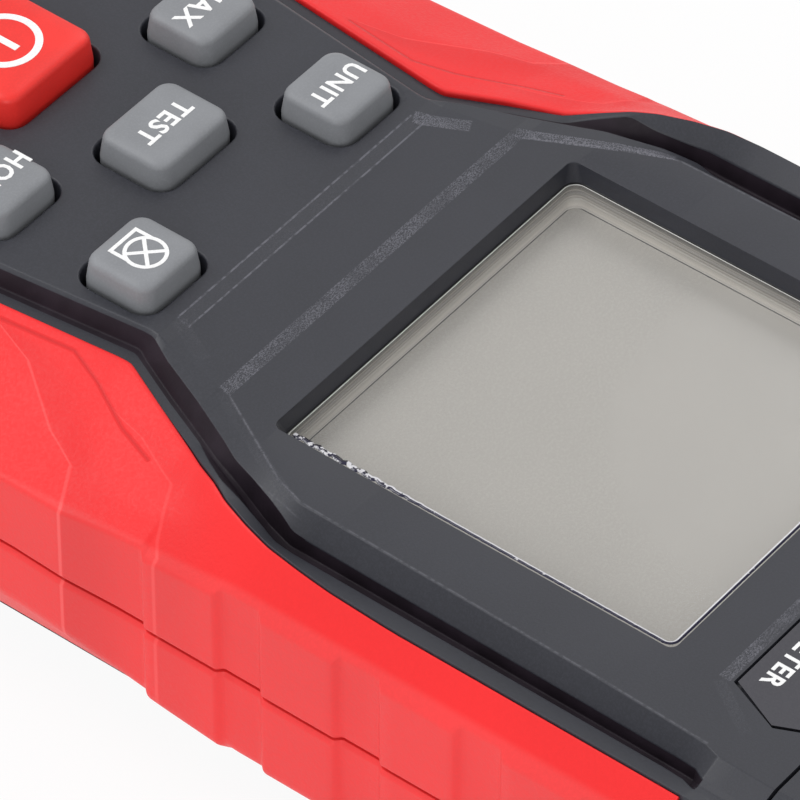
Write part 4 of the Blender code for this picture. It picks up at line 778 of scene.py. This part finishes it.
def panelShell():
    bandLines = [y for height, start, stop in steps["bands"] for y in (start, stop)]
    stations = spots((*bandLines, 48.85, stepStart, stepEnd, 52.0))
    sideTop = moved(contours["sideTop"], -under, -1.6)[:-1] + [
        (stepStart, 31 - under, 25.3), (stepEnd, 31, 26.9), (55.2, 31, 26.9)]
    foot, wall = layout["parting"], panel["wall"]
    end, corner = layout["handleEnd"] + under, layout["corner"] - under
    lines = [(level(foot, under, 0.0), end, corner), (sideTop, end, corner)] + [lineOf(name) for name in (
        "rebate", "rimOuter", "rimInner", "grooveOuter", "grooveInner", "panelEdge", "crease")]
    walked = [walk(line, stations) for line in lines]
    bm = bmesh.new()
    columns = []
    for k in range(len(stations)):
        section = [line[k].copy() for line in walked]
        section[8].z = faceHeight(section[8].y)
        section[7].z = min(section[7].z, section[8].z - 0.05)
        inward = Vector((section[8].x * 0.9, section[8].y, section[8].z))
        columns.append(filleted(section + [inward], panel["radii"], 3)[:-1])
    rows = [bothSides(bm, [column[i] for column in columns]) for i in range(len(columns[0]))]
    rowOf = {vert: i for i, row in enumerate(rows) for vert in row}
    skinRows(bm, rows)
    # points along a section: 0 foot, 1-4 side edge, 5 rebate, 6-9 rim's outer edge, 10-13 its inner edge,
    # 14-17 and 18-21 the groove's floor, 22-25 the panel's edge, 26-29 its crease
    channel = panel["channel"]
    # painted shade: the channel's faces take the second, darker finish
    for face in bm.faces:
        y = sum(v.co.y for v in face.verts) / len(face.verts)
        along = [rowOf[v] for v in face.verts]
        last = channel["last"] if y < channel["wideFrom"] else channel["lastWide"]
        if min(along) >= channel["first"] and max(along) <= last and y < channel["stop"]:
            face.material_index = 1
    closeAcross(bm, rows[-1])

    groove = contours["grooveInner"]
    inner = [(level(foot, under + wall, wall), end + wall, corner - wall),
             (moved(sideTop, -wall, -1.4), end + wall, corner - wall),
             (moved(contours["rebate"], -0.9, -2.5), -65.4, 9.6),
             (moved(groove, -1.1, -1.6), -64.0, 9.0),
             ([(y, half - 1.8, panel["innerTop"]) for y, half, z in groove], -63.4, 8.6)]
    innerRows = [bothSides(bm, [Vector((p.x, min(p.y, 53.2), p.z)) for p in walk(line, stations)])
                 for line in inner]
    skinRows(bm, innerRows)
    closeAcross(bm, innerRows[-1])
    skinRows(bm, [rows[0], innerRows[0]])
    bmesh.ops.remove_doubles(bm, verts=bm.verts, dist=0.0004)
    bmesh.ops.recalc_face_normals(bm, faces=bm.faces)
    return bm


def panelTools():
    dy, top = layout["displayY"], layout["panelTop"]
    gap = panel["holeGap"]
    tools = []
    for name, key in keys.items():
        (x, y), (wide, tall) = key["at"], key["size"]
        cutter = flaredCutter(wide + 2 * gap, tall + 2 * gap, panel["keyCorner"] + gap, layout["keypadTop"], 26.0,
                              panel["holeRound"])
        tools.append(asObject(name + "Hole", cutter, at=(x, dy + y, 0)))
    wide, tall, corner = panel["recess"]
    edge = panel["recessRound"]
    cutter = stack([(wide - 0.5, tall - 0.5, 1.2, 26.0), (wide - 0.45, tall - 0.45, 1.2, 28.3),
                    (wide, tall, corner, top - edge),
                    (wide + 0.6 * edge, tall + 0.6 * edge, corner, top - edge * 0.3),
                    (wide + 2 * edge, tall + 2 * edge, corner, top),
                    (wide + 2 * edge + 0.02, tall + 2 * edge + 0.02, corner, 33.0)], 5)
    tools.append(asObject("recessHole", cutter, at=(0, dy, 0)))
    cutter = outlineStack([(plate["gap"], top - plate["depth"]), (plate["gap"], 32.0)])
    tools.append(asObject("plateHole", cutter, at=(0, dy, 0)))
    return tools


def bandEdge(edge):
    a, b = (v.co / mm for v in edge.verts)
    return abs(a.y - b.y) < 0.01 and min(a.z, b.z) > 29.9 and any(
        abs(a.y - y) < 0.02 for height, start, stop in steps["bands"] for y in (start, stop))


def makeFrontPanel():
    item = asObject("frontPanel", panelShell(), [panelPlastic(), darkGloss()])
    cutAway(item, panelTools())
    bm = bmesh.new()
    bm.from_mesh(item.data)
    shade(bm, 33, bandEdge)
    bm.to_mesh(item.data)
    bm.free()
    # flat faces stay flat beside their rounded edges
    mod = item.modifiers.new("flat faces", "WEIGHTED_NORMAL")
    mod.keep_sharp = True
    mod.weight = 80
    ride(item, replaces=["front_housing"])
    print("front panel", len(item.data.polygons))

    # collar that the display pane rests in, near-black as painted shade for the gap round the pane
    bm = bmesh.new()
    rows = layered(bm, [(39.4, 39.8, 3.5, 28.6), (39.4, 39.8, 3.5, 24.85), (35.85, 36.25, 1.1, 24.85),
                        (35.85, 36.25, 1.1, 28.35), (36.3, 36.7, 1.2, 28.5)])
    skinRows(bm, rows + [rows[0]])
    settle(bm)
    collar = asObject("displayCollar", bm, [hardPlastic("collarShade", srgb(14, 13, 16), 0.4)],
                      at=(0, layout["displayY"], 0))
    ride(collar)


# the red overmould in two halves

ribs = {"first": 2.3, "pitch": 11.1, "ramp": 0.7, "long": 6.4, "proud": 0.5, "count": 4}
grip = {
    "skin": 1.6,
    "innerEnd": -73.4,
    "innerCorner": 13.4,
    "stop": layout["gripStop"] - 0.3,
    "nearest": 0.08,
    # the parting edge is set back and eased
    "seamIn": 0.25,
    "seamEase": 0.35,
    # how a rib's top sinks into the slope above it
    "ribDrop": 1.2,
    "ribSlopeOut": 0.2,
    "ribSlopeDrop": 0.24,
}


def ribEnds():
    starts = [ribs["first"] + i * ribs["pitch"] for i in range(ribs["count"])]
    return [(start, start + 2 * ribs["ramp"] + ribs["long"]) for start in starts]


def ribRise(y):
    rise = 0.0
    for start, stop in ribEnds():
        near = min(y - start, stop - y)
        if near > 0:
            t = min(1.0, near / ribs["ramp"])
            rise = ribs["proud"] * t * t * (3 - 2 * t)
    return rise


def gripStations():
    extra = [edge + step * ribs["ramp"] * t for start, stop in ribEnds()
             for edge, step in ((start, 1), (stop, -1)) for t in (0, 0.2, 0.4, 0.6, 0.8, 1.0)]
    rows = spots((), grip["stop"])
    ys = {round(v, 3) for kind, v in rows if kind == "y"} | {round(v, 3) for v in extra if v < grip["stop"]}
    kept = []
    for y in sorted(ys):
        if not kept or y - kept[-1] > grip["nearest"]:
            kept.append(y)
    return [row for row in rows if row[0] != "y"] + [("y", y) for y in kept]


def wallFold(y):
    # a plan fold that runs down the upright side below the shoulder's ridge
    return 0.2 * max(0.0, 1 - abs(y + 5.3) / 5.0)


def gripColumns(lines, stations, radii, up, sink):
    # a section at each station: its rounded outside, then its inside
    walked = [walk(line, stations) for line in lines]
    columns = []
    for k, (kind, value) in enumerate(stations):
        section = [line[k].copy() for line in walked]
        if kind == "y":
            rib = ribRise(value)
            rise = rib + wallFold(value)
            section[0].x += rise
            section[1].x += rise
            if sink:
                section[1].z -= grip["ribDrop"] * rib
                section[2].x += rib * grip["ribSlopeOut"]
                section[2].z -= rib * grip["ribSlopeDrop"]
        seamEdge = section[0].copy()
        section[0].x -= grip["seamIn"]
        seamEdge.z += up * grip["seamEase"]
        turned = len(radii) + 1
        columns.append((filleted([section[0], seamEdge, *section[1:turned]], radii, 5), section[turned:]))
    return columns


def divided(columns):
    # long straight stretches are divided evenly, so every column keeps the same number of points
    parts = [max(1, round(max((outer[i + 1] - outer[i]).length for outer, inner in columns) / 0.9))
             for i in range(len(columns[0][0]) - 1)]
    grid = []
    for outer, inner in columns:
        points = [outer[i].lerp(outer[i + 1], s / count) for i, count in enumerate(parts) for s in range(count)]
        grid.append((points + [outer[-1]], inner))
    return grid


def gripShell(name, columns, red, replaced):
    bm = bmesh.new()
    rows = [[bm.verts.new(p) for p in outer + inner] for outer, inner in columns]
    left = [[bm.verts.new(mirrored(p)) for p in outer + inner] for outer, inner in columns]
    skinRows(bm, list(reversed(rows)) + left, capped=True)
    settle(bm, 40)
    item = asObject(name, bm, [red])
    ride(item, replaces=[replaced])
    print(name, len(item.data.polygons))


def makeGrips():
    red = redRubber("redGrip", finishes["redGrip"], creased=True)
    stations = gripStations()
    skin = grip["skin"]
    outside = layout["handleEnd"], layout["corner"]
    inside = grip["innerEnd"], grip["innerCorner"]
    low, high = layout["parting"], layout["backParting"]
    lines = [(level(low), *outside), lineOf("sideTop"), lineOf("slope"), lineOf("gripInner"),
             (moved(contours["gripInner"], -0.02, -2.1), -67.3, 11.3),
             (moved(contours["sideTop"], -skin, -1.1), *inside), (level(low, skin), *inside)]
    columns = gripColumns(lines, stations, [0.15, 0.3, 0.8, 0.5], 1, True)
    gripShell("frontGrip", divided(columns), red, "front_grip")

    lines = [(level(high), *outside), lineOf("footLine"), (level(4.2, 5.0), -70.0, 10.0),
             (level(5.0, 6.4), -68.6, 8.6), (moved(contours["footLine"], -skin, 0.5), *inside),
             (level(high, skin), *inside)]
    gripShell("backGrip", gripColumns(lines, stations, [0.15, 0.8, 0.7], -1, False), red, "back_grip")


# key caps and what is printed on them

keyShape = {"taper": 0.18, "round": 0.5, "crown": 0.12, "foot": 27.3, "upright": 30.3, "ink": 0.03}
lettering = {"weight": 0.024, "gap": 1.12, "plateSpread": 0.96}
lampSign = {"radius": 1.6, "stroke": 0.32, "cross": 0.72, "side": 1.5, "sideTop": -0.5, "sideFoot": -2.35,
            "base": 1.66, "baseAt": -2.2, "lift": 0.3}
powerSign = {"radius": 2.78, "stroke": 0.62, "bar": 1.45}


def crownAt(key, x, y):
    wide, tall = key["size"]
    u, v = x / (wide / 2), y / (tall / 2)
    return key["top"] - keyShape["crown"] * (u * u + v * v) / 2


def keyCap(name, key, material):
    wide, tall = key["size"]
    taper, rounding = keyShape["taper"], keyShape["round"]
    corner = panel["keyCorner"]
    bm = bmesh.new()
    shoulder = key["top"] - rounding - keyShape["crown"]
    layers = [(wide, tall, corner, keyShape["foot"]), (wide, tall, corner, keyShape["upright"]),
              (wide - 2 * taper * 0.9, tall - 2 * taper * 0.9, corner, shoulder)]
    for i in range(1, 7):
        turn = math.radians(90 * i / 6)
        bend = rounding * (1 - math.cos(turn))
        inset = taper + bend
        layers.append((wide - 2 * inset, tall - 2 * inset, max(0.5, corner - bend * 0.4),
                       shoulder + rounding * math.sin(turn)))
    rows = layered(bm, layers, 7)
    last = layers[-1]
    for share in (0.8, 0.6, 0.4, 0.2):
        loop = roundedLoop(last[0] * share, last[1] * share, last[2] * share, 0, 7)
        rows.append([bm.verts.new(Vector((p.x, p.y, crownAt(key, p.x, p.y)))) for p in loop])
    for vert in rows[len(layers) - 1]:
        vert.co.z = crownAt(key, vert.co.x, vert.co.y) - 0.005
    skinRows(bm, rows, capped=True)
    settle(bm, 50)
    x, y = key["at"]
    item = asObject(name.replace("key_", "cap_"), bm, [material], at=(x, layout["displayY"] + y, 0))
    ride(item, name + "_body", replaces=[name])


def inkFrom(name, key, bm, ink):
    # thin print laid on the crowned key top
    for vert in bm.verts:
        vert.co.z = crownAt(key, vert.co.x, vert.co.y) + keyShape["ink"] * (1 if vert.co.z > 0 else -1)
    bmesh.ops.recalc_face_normals(bm, faces=bm.faces)
    x, y = key["at"]
    item = asObject(name.replace("key_", "legend_"), bm, [ink], at=(x, layout["displayY"] + y, 0))
    ride(item, name + "_body")


def wordMesh(word, tall, spread):
    data = bpy.data.curves.new("word", "FONT")
    data.body = word
    data.size = 1.0
    data.align_x = "CENTER"
    data.align_y = "CENTER"
    data.extrude = 0.02
    data.offset = lettering["weight"]
    data.space_character = lettering["gap"]
    data.resolution_u = 3
    item = bpy.data.objects.new("word", data)
    bpy.context.scene.collection.objects.link(item)
    bpy.context.view_layer.update()
    mesh = bpy.data.meshes.new_from_object(item.evaluated_get(bpy.context.evaluated_depsgraph_get()))
    bm = bmesh.new()
    bm.from_mesh(mesh)
    bpy.data.objects.remove(item)
    bpy.data.curves.remove(data)
    bpy.data.meshes.remove(mesh)
    low = min(v.co.y for v in bm.verts)
    high = max(v.co.y for v in bm.verts)
    middle = (min(v.co.x for v in bm.verts) + max(v.co.x for v in bm.verts)) / 2
    scale = tall / (high - low)
    for vert in bm.verts:
        vert.co.x = (vert.co.x - middle) * scale * spread
        vert.co.y = (vert.co.y - (low + high) / 2) * scale
    return bm


def ribbonInto(bm, points, wide, closed=False):
    # a flat stroke of constant width along a line of points
    loops = []
    count = len(points)
    for i in range(count):
        if closed:
            a, b = Vector(points[i - 1]), Vector(points[(i + 1) % count])
        else:
            a, b = Vector(points[max(0, i - 1)]), Vector(points[min(count - 1, i + 1)])
        side = (b - a).normalized()
        side = Vector((-side.y, side.x)) * wide / 2
        here = Vector(points[i])
        loops.append([bm.verts.new((*(here + side), 1)), bm.verts.new((*(here - side), 1)),
                      bm.verts.new((*(here - side), -1)), bm.verts.new((*(here + side), -1))])
    if closed:
        loops.append(loops[0])
    skinRows(bm, loops, capped=not closed)


def circlePoints(radius, count=40):
    return [(radius * math.cos(math.radians(360 * i / count)), radius * math.sin(math.radians(360 * i / count)))
            for i in range(count)]


def lampMesh():
    # a crossed circle on a lamp's neck
    bm = bmesh.new()
    sign, stroke = lampSign, lampSign["stroke"]
    ribbonInto(bm, circlePoints(sign["radius"]), stroke, True)
    reach = sign["radius"] * sign["cross"]
    for s in (-1, 1):
        ribbonInto(bm, [(-reach, -reach * s), (reach, reach * s)], stroke)
    for s in (-1, 1):
        ribbonInto(bm, [(s * sign["side"], sign["sideTop"]), (s * sign["side"], sign["sideFoot"])], stroke)
    ribbonInto(bm, [(-sign["base"], sign["baseAt"]), (sign["base"], sign["baseAt"])], stroke)
    for vert in bm.verts:
        vert.co.y += sign["lift"]
    return bm


def powerMesh():
    bm = bmesh.new()
    ribbonInto(bm, circlePoints(powerSign["radius"], 56), powerSign["stroke"], True)
    ribbonInto(bm, [(0, -powerSign["bar"]), (0, powerSign["bar"])], powerSign["stroke"])
    return bm


def makeKeys():
    grey = keyRubber("greyKey", finishes["greyKey"])
    red = keyRubber("redKey", finishes["redKey"], 0.42)
    ink = legendInk()
    for name, key in keys.items():
        keyCap(name, key, red if name == "key_power" else grey)
        if key["legend"] == "lamp":
            bm = lampMesh()
        elif key["legend"] == "power":
            bm = powerMesh()
        else:
            bm = wordMesh(key["legend"], key["tall"], key["spread"])
        inkFrom(name, key, bm, ink)
    print("keys done")


# the pane, the walls below it, the display plate and the painted glints of the pane's wavy edge

display = {
    "pane": (35.75, 36.15, 1.1),
    "paneTop": 28.45,
    "paneFloor": 26.65,
    "paneRound": 0.2,
    # the walls below the pane, down and back up: inset and height
    "walls": [(0.3, 28.36), (0.34, 27.8), (0.6, 27.7), (0.66, 27.3), (0.8, 27.2), (0.9, 26.6), (1.0, 26.45),
              (0.95, 26.42), (0.2, 26.42), (0.2, 28.36)],
    "wallsFoot": 0.02642,
    "wallsTall": 0.00194,
    "panelTop": 26.4,
    "panelFloor": 22.85,
}
# painted glints and dark lines along the pane's edge: where they run, their waves and widths
glintLine = {
    "nearX": 16.76,
    "farY": 17.32,
    "corner": 0.75,
    "waves": 1.35,
    "swing": 0.06,
    "wide": 0.26,
    "thin": 0.17,
    "count": 240,
    # the waves die down over this length, from here on
    "calmFrom": -10.5,
    "calmLong": 7.0,
    "calmTone": (0.0115, 0.0150),
    # half widths and heights across the bead
    "section": ((-1, -0.02), (-0.6, 0.05), (0, 0.07), (0.6, 0.05), (1, -0.02)),
}


def paneEdgeShading():
    # painted light and shade: the walls below the pane are pale low down and greyer toward the top, with thin
    # light and dark lines painted for the look of the pane's thick edge
    m = Recipe("paneEdgeShading")
    x, y, z = m.axes()
    shares = ((0.0, 1.4), (0.25, 1.25), (0.40, 1.0), (0.50, 0.68), (0.55, 1.1), (0.60, 0.6), (0.72, 0.48),
              (0.77, 0.85), (0.86, 0.34), (1.0, 0.25))
    stops = [(at, tint(finishes["display"], share)) for at, share in shares]
    tone = m.node("ShaderNodeValToRGB", {"stops": stops},
                  {"Fac": (z - display["wallsFoot"]) / display["wallsTall"]})
    streak = m.noise(0.8, 2.0, 0.5, (0.08, 0.08, 6))
    tone = m.blend(m.between(streak, 0.4, 0.62) * 0.22, tone, tint(finishes["display"], 0.95))
    return m.finish(tone, m.between(streak, 0.3, 0.7, 0.25, 0.4), specular=0.4)


def makeDisplay():
    dy = layout["displayY"]
    wide, tall, corner = display["pane"]
    top, floor, rounding = display["paneTop"], display["paneFloor"], display["paneRound"]
    layers = [(wide - 0.1, tall - 0.1, corner, floor), (wide, tall, corner, floor + 0.05),
              (wide, tall, corner, top - rounding)]
    for turn in (30, 60, 90):
        inset = rounding * (1 - math.cos(math.radians(turn)))
        layers.append((wide - 2 * inset, tall - 2 * inset, corner,
                       top - rounding + rounding * math.sin(math.radians(turn))))
    bm = bmesh.new()
    rows = layered(bm, layers, 8)
    skinRows(bm, rows[:3])
    # painted highlight: the pane's rounded top edge takes a near-white finish
    skinRows(bm, rows[2:], 1)
    bm.faces.new(rows[0])
    bm.faces.new(rows[-1])
    settle(bm, 25)
    pane = asObject("displayPane", bm, [clearPane(), hardPlastic("paneEdgeHighlight", srgb(246, 246, 242), 0.16)],
                    at=(0, dy, 0))
    ride(pane, replaces=["lcd_window"])

    # walls under the pane that carry painted light and shade
    bm = bmesh.new()
    rows = layered(bm, [(wide - inset, tall - inset, corner, z) for inset, z in display["walls"]], 8)
    skinRows(bm, rows + [rows[0]])
    settle(bm, 20)
    ride(asObject("paneWalls", bm, [paneEdgeShading()], at=(0, dy, 0)))

    low, high = display["panelFloor"], display["panelTop"]
    bm = stack([(34.6, 35.0, 0.5, low), (34.8, 35.2, 0.5, low + 0.1), (34.8, 35.2, 0.5, high - 0.1),
                (34.6, 35.0, 0.5, high)])
    settle(bm)
    ride(asObject("displayPlate", bm, [displayGlass()], at=(0, dy, 0)), replaces=["lcd_panel"])
    makeEdgeGlints(tall)
    print("display done")


def glintPath(tall):
    # centre and half width: wavy along the near side, then round the corner and along the end
    thin, bend, x = glintLine["thin"], glintLine["corner"], glintLine["nearX"]
    low, high = -tall / 2 + 0.5, glintLine["farY"] - bend
    path = []
    for i in range(glintLine["count"] + 1):
        y = low + (high - low) * i / glintLine["count"]
        calm = max(0.1, 1 - max(0.0, y - glintLine["calmFrom"]) / glintLine["calmLong"])
        sway = glintLine["swing"] * calm * (math.sin(y / glintLine["waves"] * 2 * math.pi) + 0.5 * math.sin(y * 9.1))
        path.append((x + sway, y, thin + (glintLine["wide"] - thin) * calm * (0.75 + 0.25 * math.sin(y * 7.3))))
    for i in range(1, 9):
        turn = math.radians(90 * i / 8)
        path.append((x - bend + bend * math.cos(turn), high + bend * math.sin(turn), thin))
    return path + [(x - bend - i * 1.0, high + bend, thin) for i in range(1, 31)]


def makeEdgeGlints(tall):
    # glints of the pane's thick edge
    path = glintPath(tall)
    bm = bmesh.new()
    rows = []
    for k, (x, y, half) in enumerate(path):
        (x0, y0, skip), (x1, y1, skip) = path[max(0, k - 1)], path[min(len(path) - 1, k + 1)]
        side = Vector((y1 - y0, x0 - x1)).normalized() * half
        rows.append([bm.verts.new((*(Vector((x, y)) + side * share), display["paneTop"] + lift))
                     for share, lift in glintLine["section"]])
    for first, second in zip(rows, rows[1:]):
        for i in range(5):
            quad(bm, first[i], first[(i + 1) % 5], second[(i + 1) % 5], second[i], 0 if i in (0, 1) else 1)
    bm.faces.new(rows[0])
    bm.faces.new(rows[-1])
    settle(bm, 60)
    beads = []
    for name, calm, deep in (("paleGlint", 0.2, srgb(26, 23, 38)), ("darkGlint", 0.66, srgb(36, 33, 62))):
        # painted glints: black and white where the edge is wavy, then pale on the inside and dark on the outside
        bead = Recipe(name)
        swirl = bead.noise(0.55, 2.0, 0.6)
        x, y, z = bead.axes()
        near = bead.between(y, *glintLine["calmTone"], 0.50, calm)
        tone = bead.blend(bead.between(swirl - near, 0.0, 0.07), deep, srgb(222, 221, 226))
        beads.append(bead.finish(tone, bead.between(swirl, 0.3, 0.7, 0.12, 0.2), specular=0.5))
    ride(asObject("glueBead", bm, beads, at=(0, layout["displayY"], 0)))


def makePlate():
    dy, top = layout["displayY"], plate["top"]
    bm = outlineStack([(0.0, plate["foot"]), (0.0, top - 0.16), (-0.08, top - 0.04), (-0.2, top)])
    settle(bm, 25)
    item = asObject("labelPlate", bm, [hardPlastic("platePlastic", srgb(58, 57, 64), 0.42)], at=(0, dy, 0))
    ride(item)
    bm = wordMesh(plate["word"], plate["wordTall"], lettering["plateSpread"])
    for vert in bm.verts:
        vert.co.z = 0.04 if vert.co.z > 0 else -0.03
    bmesh.ops.recalc_face_normals(bm, faces=bm.faces)
    x, y = plate["wordAt"]
    ride(asObject("plateWord", bm, [legendInk()], at=(x, dy + y, top)))
    print("plate done")


# finishes for the nodes that keep their CAD shape

def dressNodes():
    finishOf = {
        "hard_black": panelPlastic("blackPlastic", False),
        "soft_red": redRubber("spareRed", finishes["redGrip"]),
        "soft_red_key": keyRubber("spareRedKey", finishes["redKey"]),
        "soft_grey": keyRubber("sheetGrey", srgb(120, 122, 126)),
        "clear_plastic": clearPane("lensClear", 0.35, srgb(190, 200, 210), 0.05),
        "smoked_plastic": clearPane("smokedWindow", 0.88, srgb(28, 14, 18), 0.08),
        "display_grey": displayGlass(),
        "pale_plastic": hardPlastic("palePlastic", srgb(222, 221, 214)),
        "contact_rubber": keyRubber("contactRubber", srgb(150, 96, 110)),
        "board_green": boardGreen(),
        "chip_black": hardPlastic("chipBlack", srgb(34, 34, 36), 0.45),
        "can_grey": metal("canGrey", srgb(176, 178, 182), 0.35),
        "steel": metal("brightSteel", srgb(190, 190, 188), 0.28),
        "brass": metal("turnedBrass", srgb(196, 160, 92), 0.3, (1, 0.05, 1)),
        "cell_skin": hardPlastic("cellSkin", srgb(66, 84, 120), 0.35),
    }
    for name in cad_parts:
        item = bpy.data.objects.get(name)
        if item is None or item.type != "MESH":
            continue
        for holder in item.material_slots:
            old = holder.material.name if holder.material else ""
            key = next((k for k in sorted(finishOf, key=len, reverse=True) if old.startswith(k)), None)
            if key:
                holder.material = finishOf[key]
            else:
                print("no finish for", name, old)
    print("CAD nodes dressed")


def makeStage():
    m = Recipe("floorPaper")
    m.finish(m.varied(m.noise(40.0, 2.0), light["floor"], 1.0, 1.01), 0.9, specular=0.1)
    seen, glossy, through = m.node("ShaderNodeLightPath", out=(
        "Is Camera Ray", "Is Glossy Ray", "Is Transmission Ray"))
    glow = m.node("ShaderNodeEmission", {}, {"Color": (1.0, 1.0, 1.0), "Strength": 1.0})
    mixed = m.node("ShaderNodeMixShader", {}, {
        0: m.between(seen + glossy + through, 0.0, 1.0) * 0.93, 1: Wire(m, m.shader.outputs[0]), 2: glow})
    m.feed(m.tree.nodes["Material Output"].inputs[0], mixed)
    bm = bmesh.new()
    bmesh.ops.create_circle(bm, cap_ends=True, segments=64, radius=light["floorRadius"])
    floor = asObject("floor", bm, [m.holder], at=(0, 0, -0.02))

    # plain white behind, and a softer white as light
    world = Recipe("studio", bpy.data.worlds.new("studio"))
    bpy.context.scene.world = world.holder
    ground = world.tree.nodes["Background"]
    world.feed(ground.inputs["Color"], (1, 1, 1))
    world.feed(ground.inputs["Strength"], light["world"])
    white = world.node("ShaderNodeBackground", {}, {"Color": (1, 1, 1)})
    seen, through = world.node("ShaderNodeLightPath", out=("Is Camera Ray", "Is Transmission Ray"))
    pick = world.node("ShaderNodeMixShader", {}, {
        0: world.maths("MAXIMUM", seen, through), 1: Wire(world, ground.outputs[0]), 2: white})
    world.feed(world.tree.nodes["World Output"].inputs[0], pick)
    print("floor and world done")


placeCamera()
for lampName, lamp in lamps.items():
    areaLamp(lampName, *lamp)
makeStage()
dressNodes()
makeFrontPanel()
makeGrips()
makeKeys()
makeDisplay()
makePlate()

scene = bpy.context.scene
scene.view_settings.view_transform = "Standard"
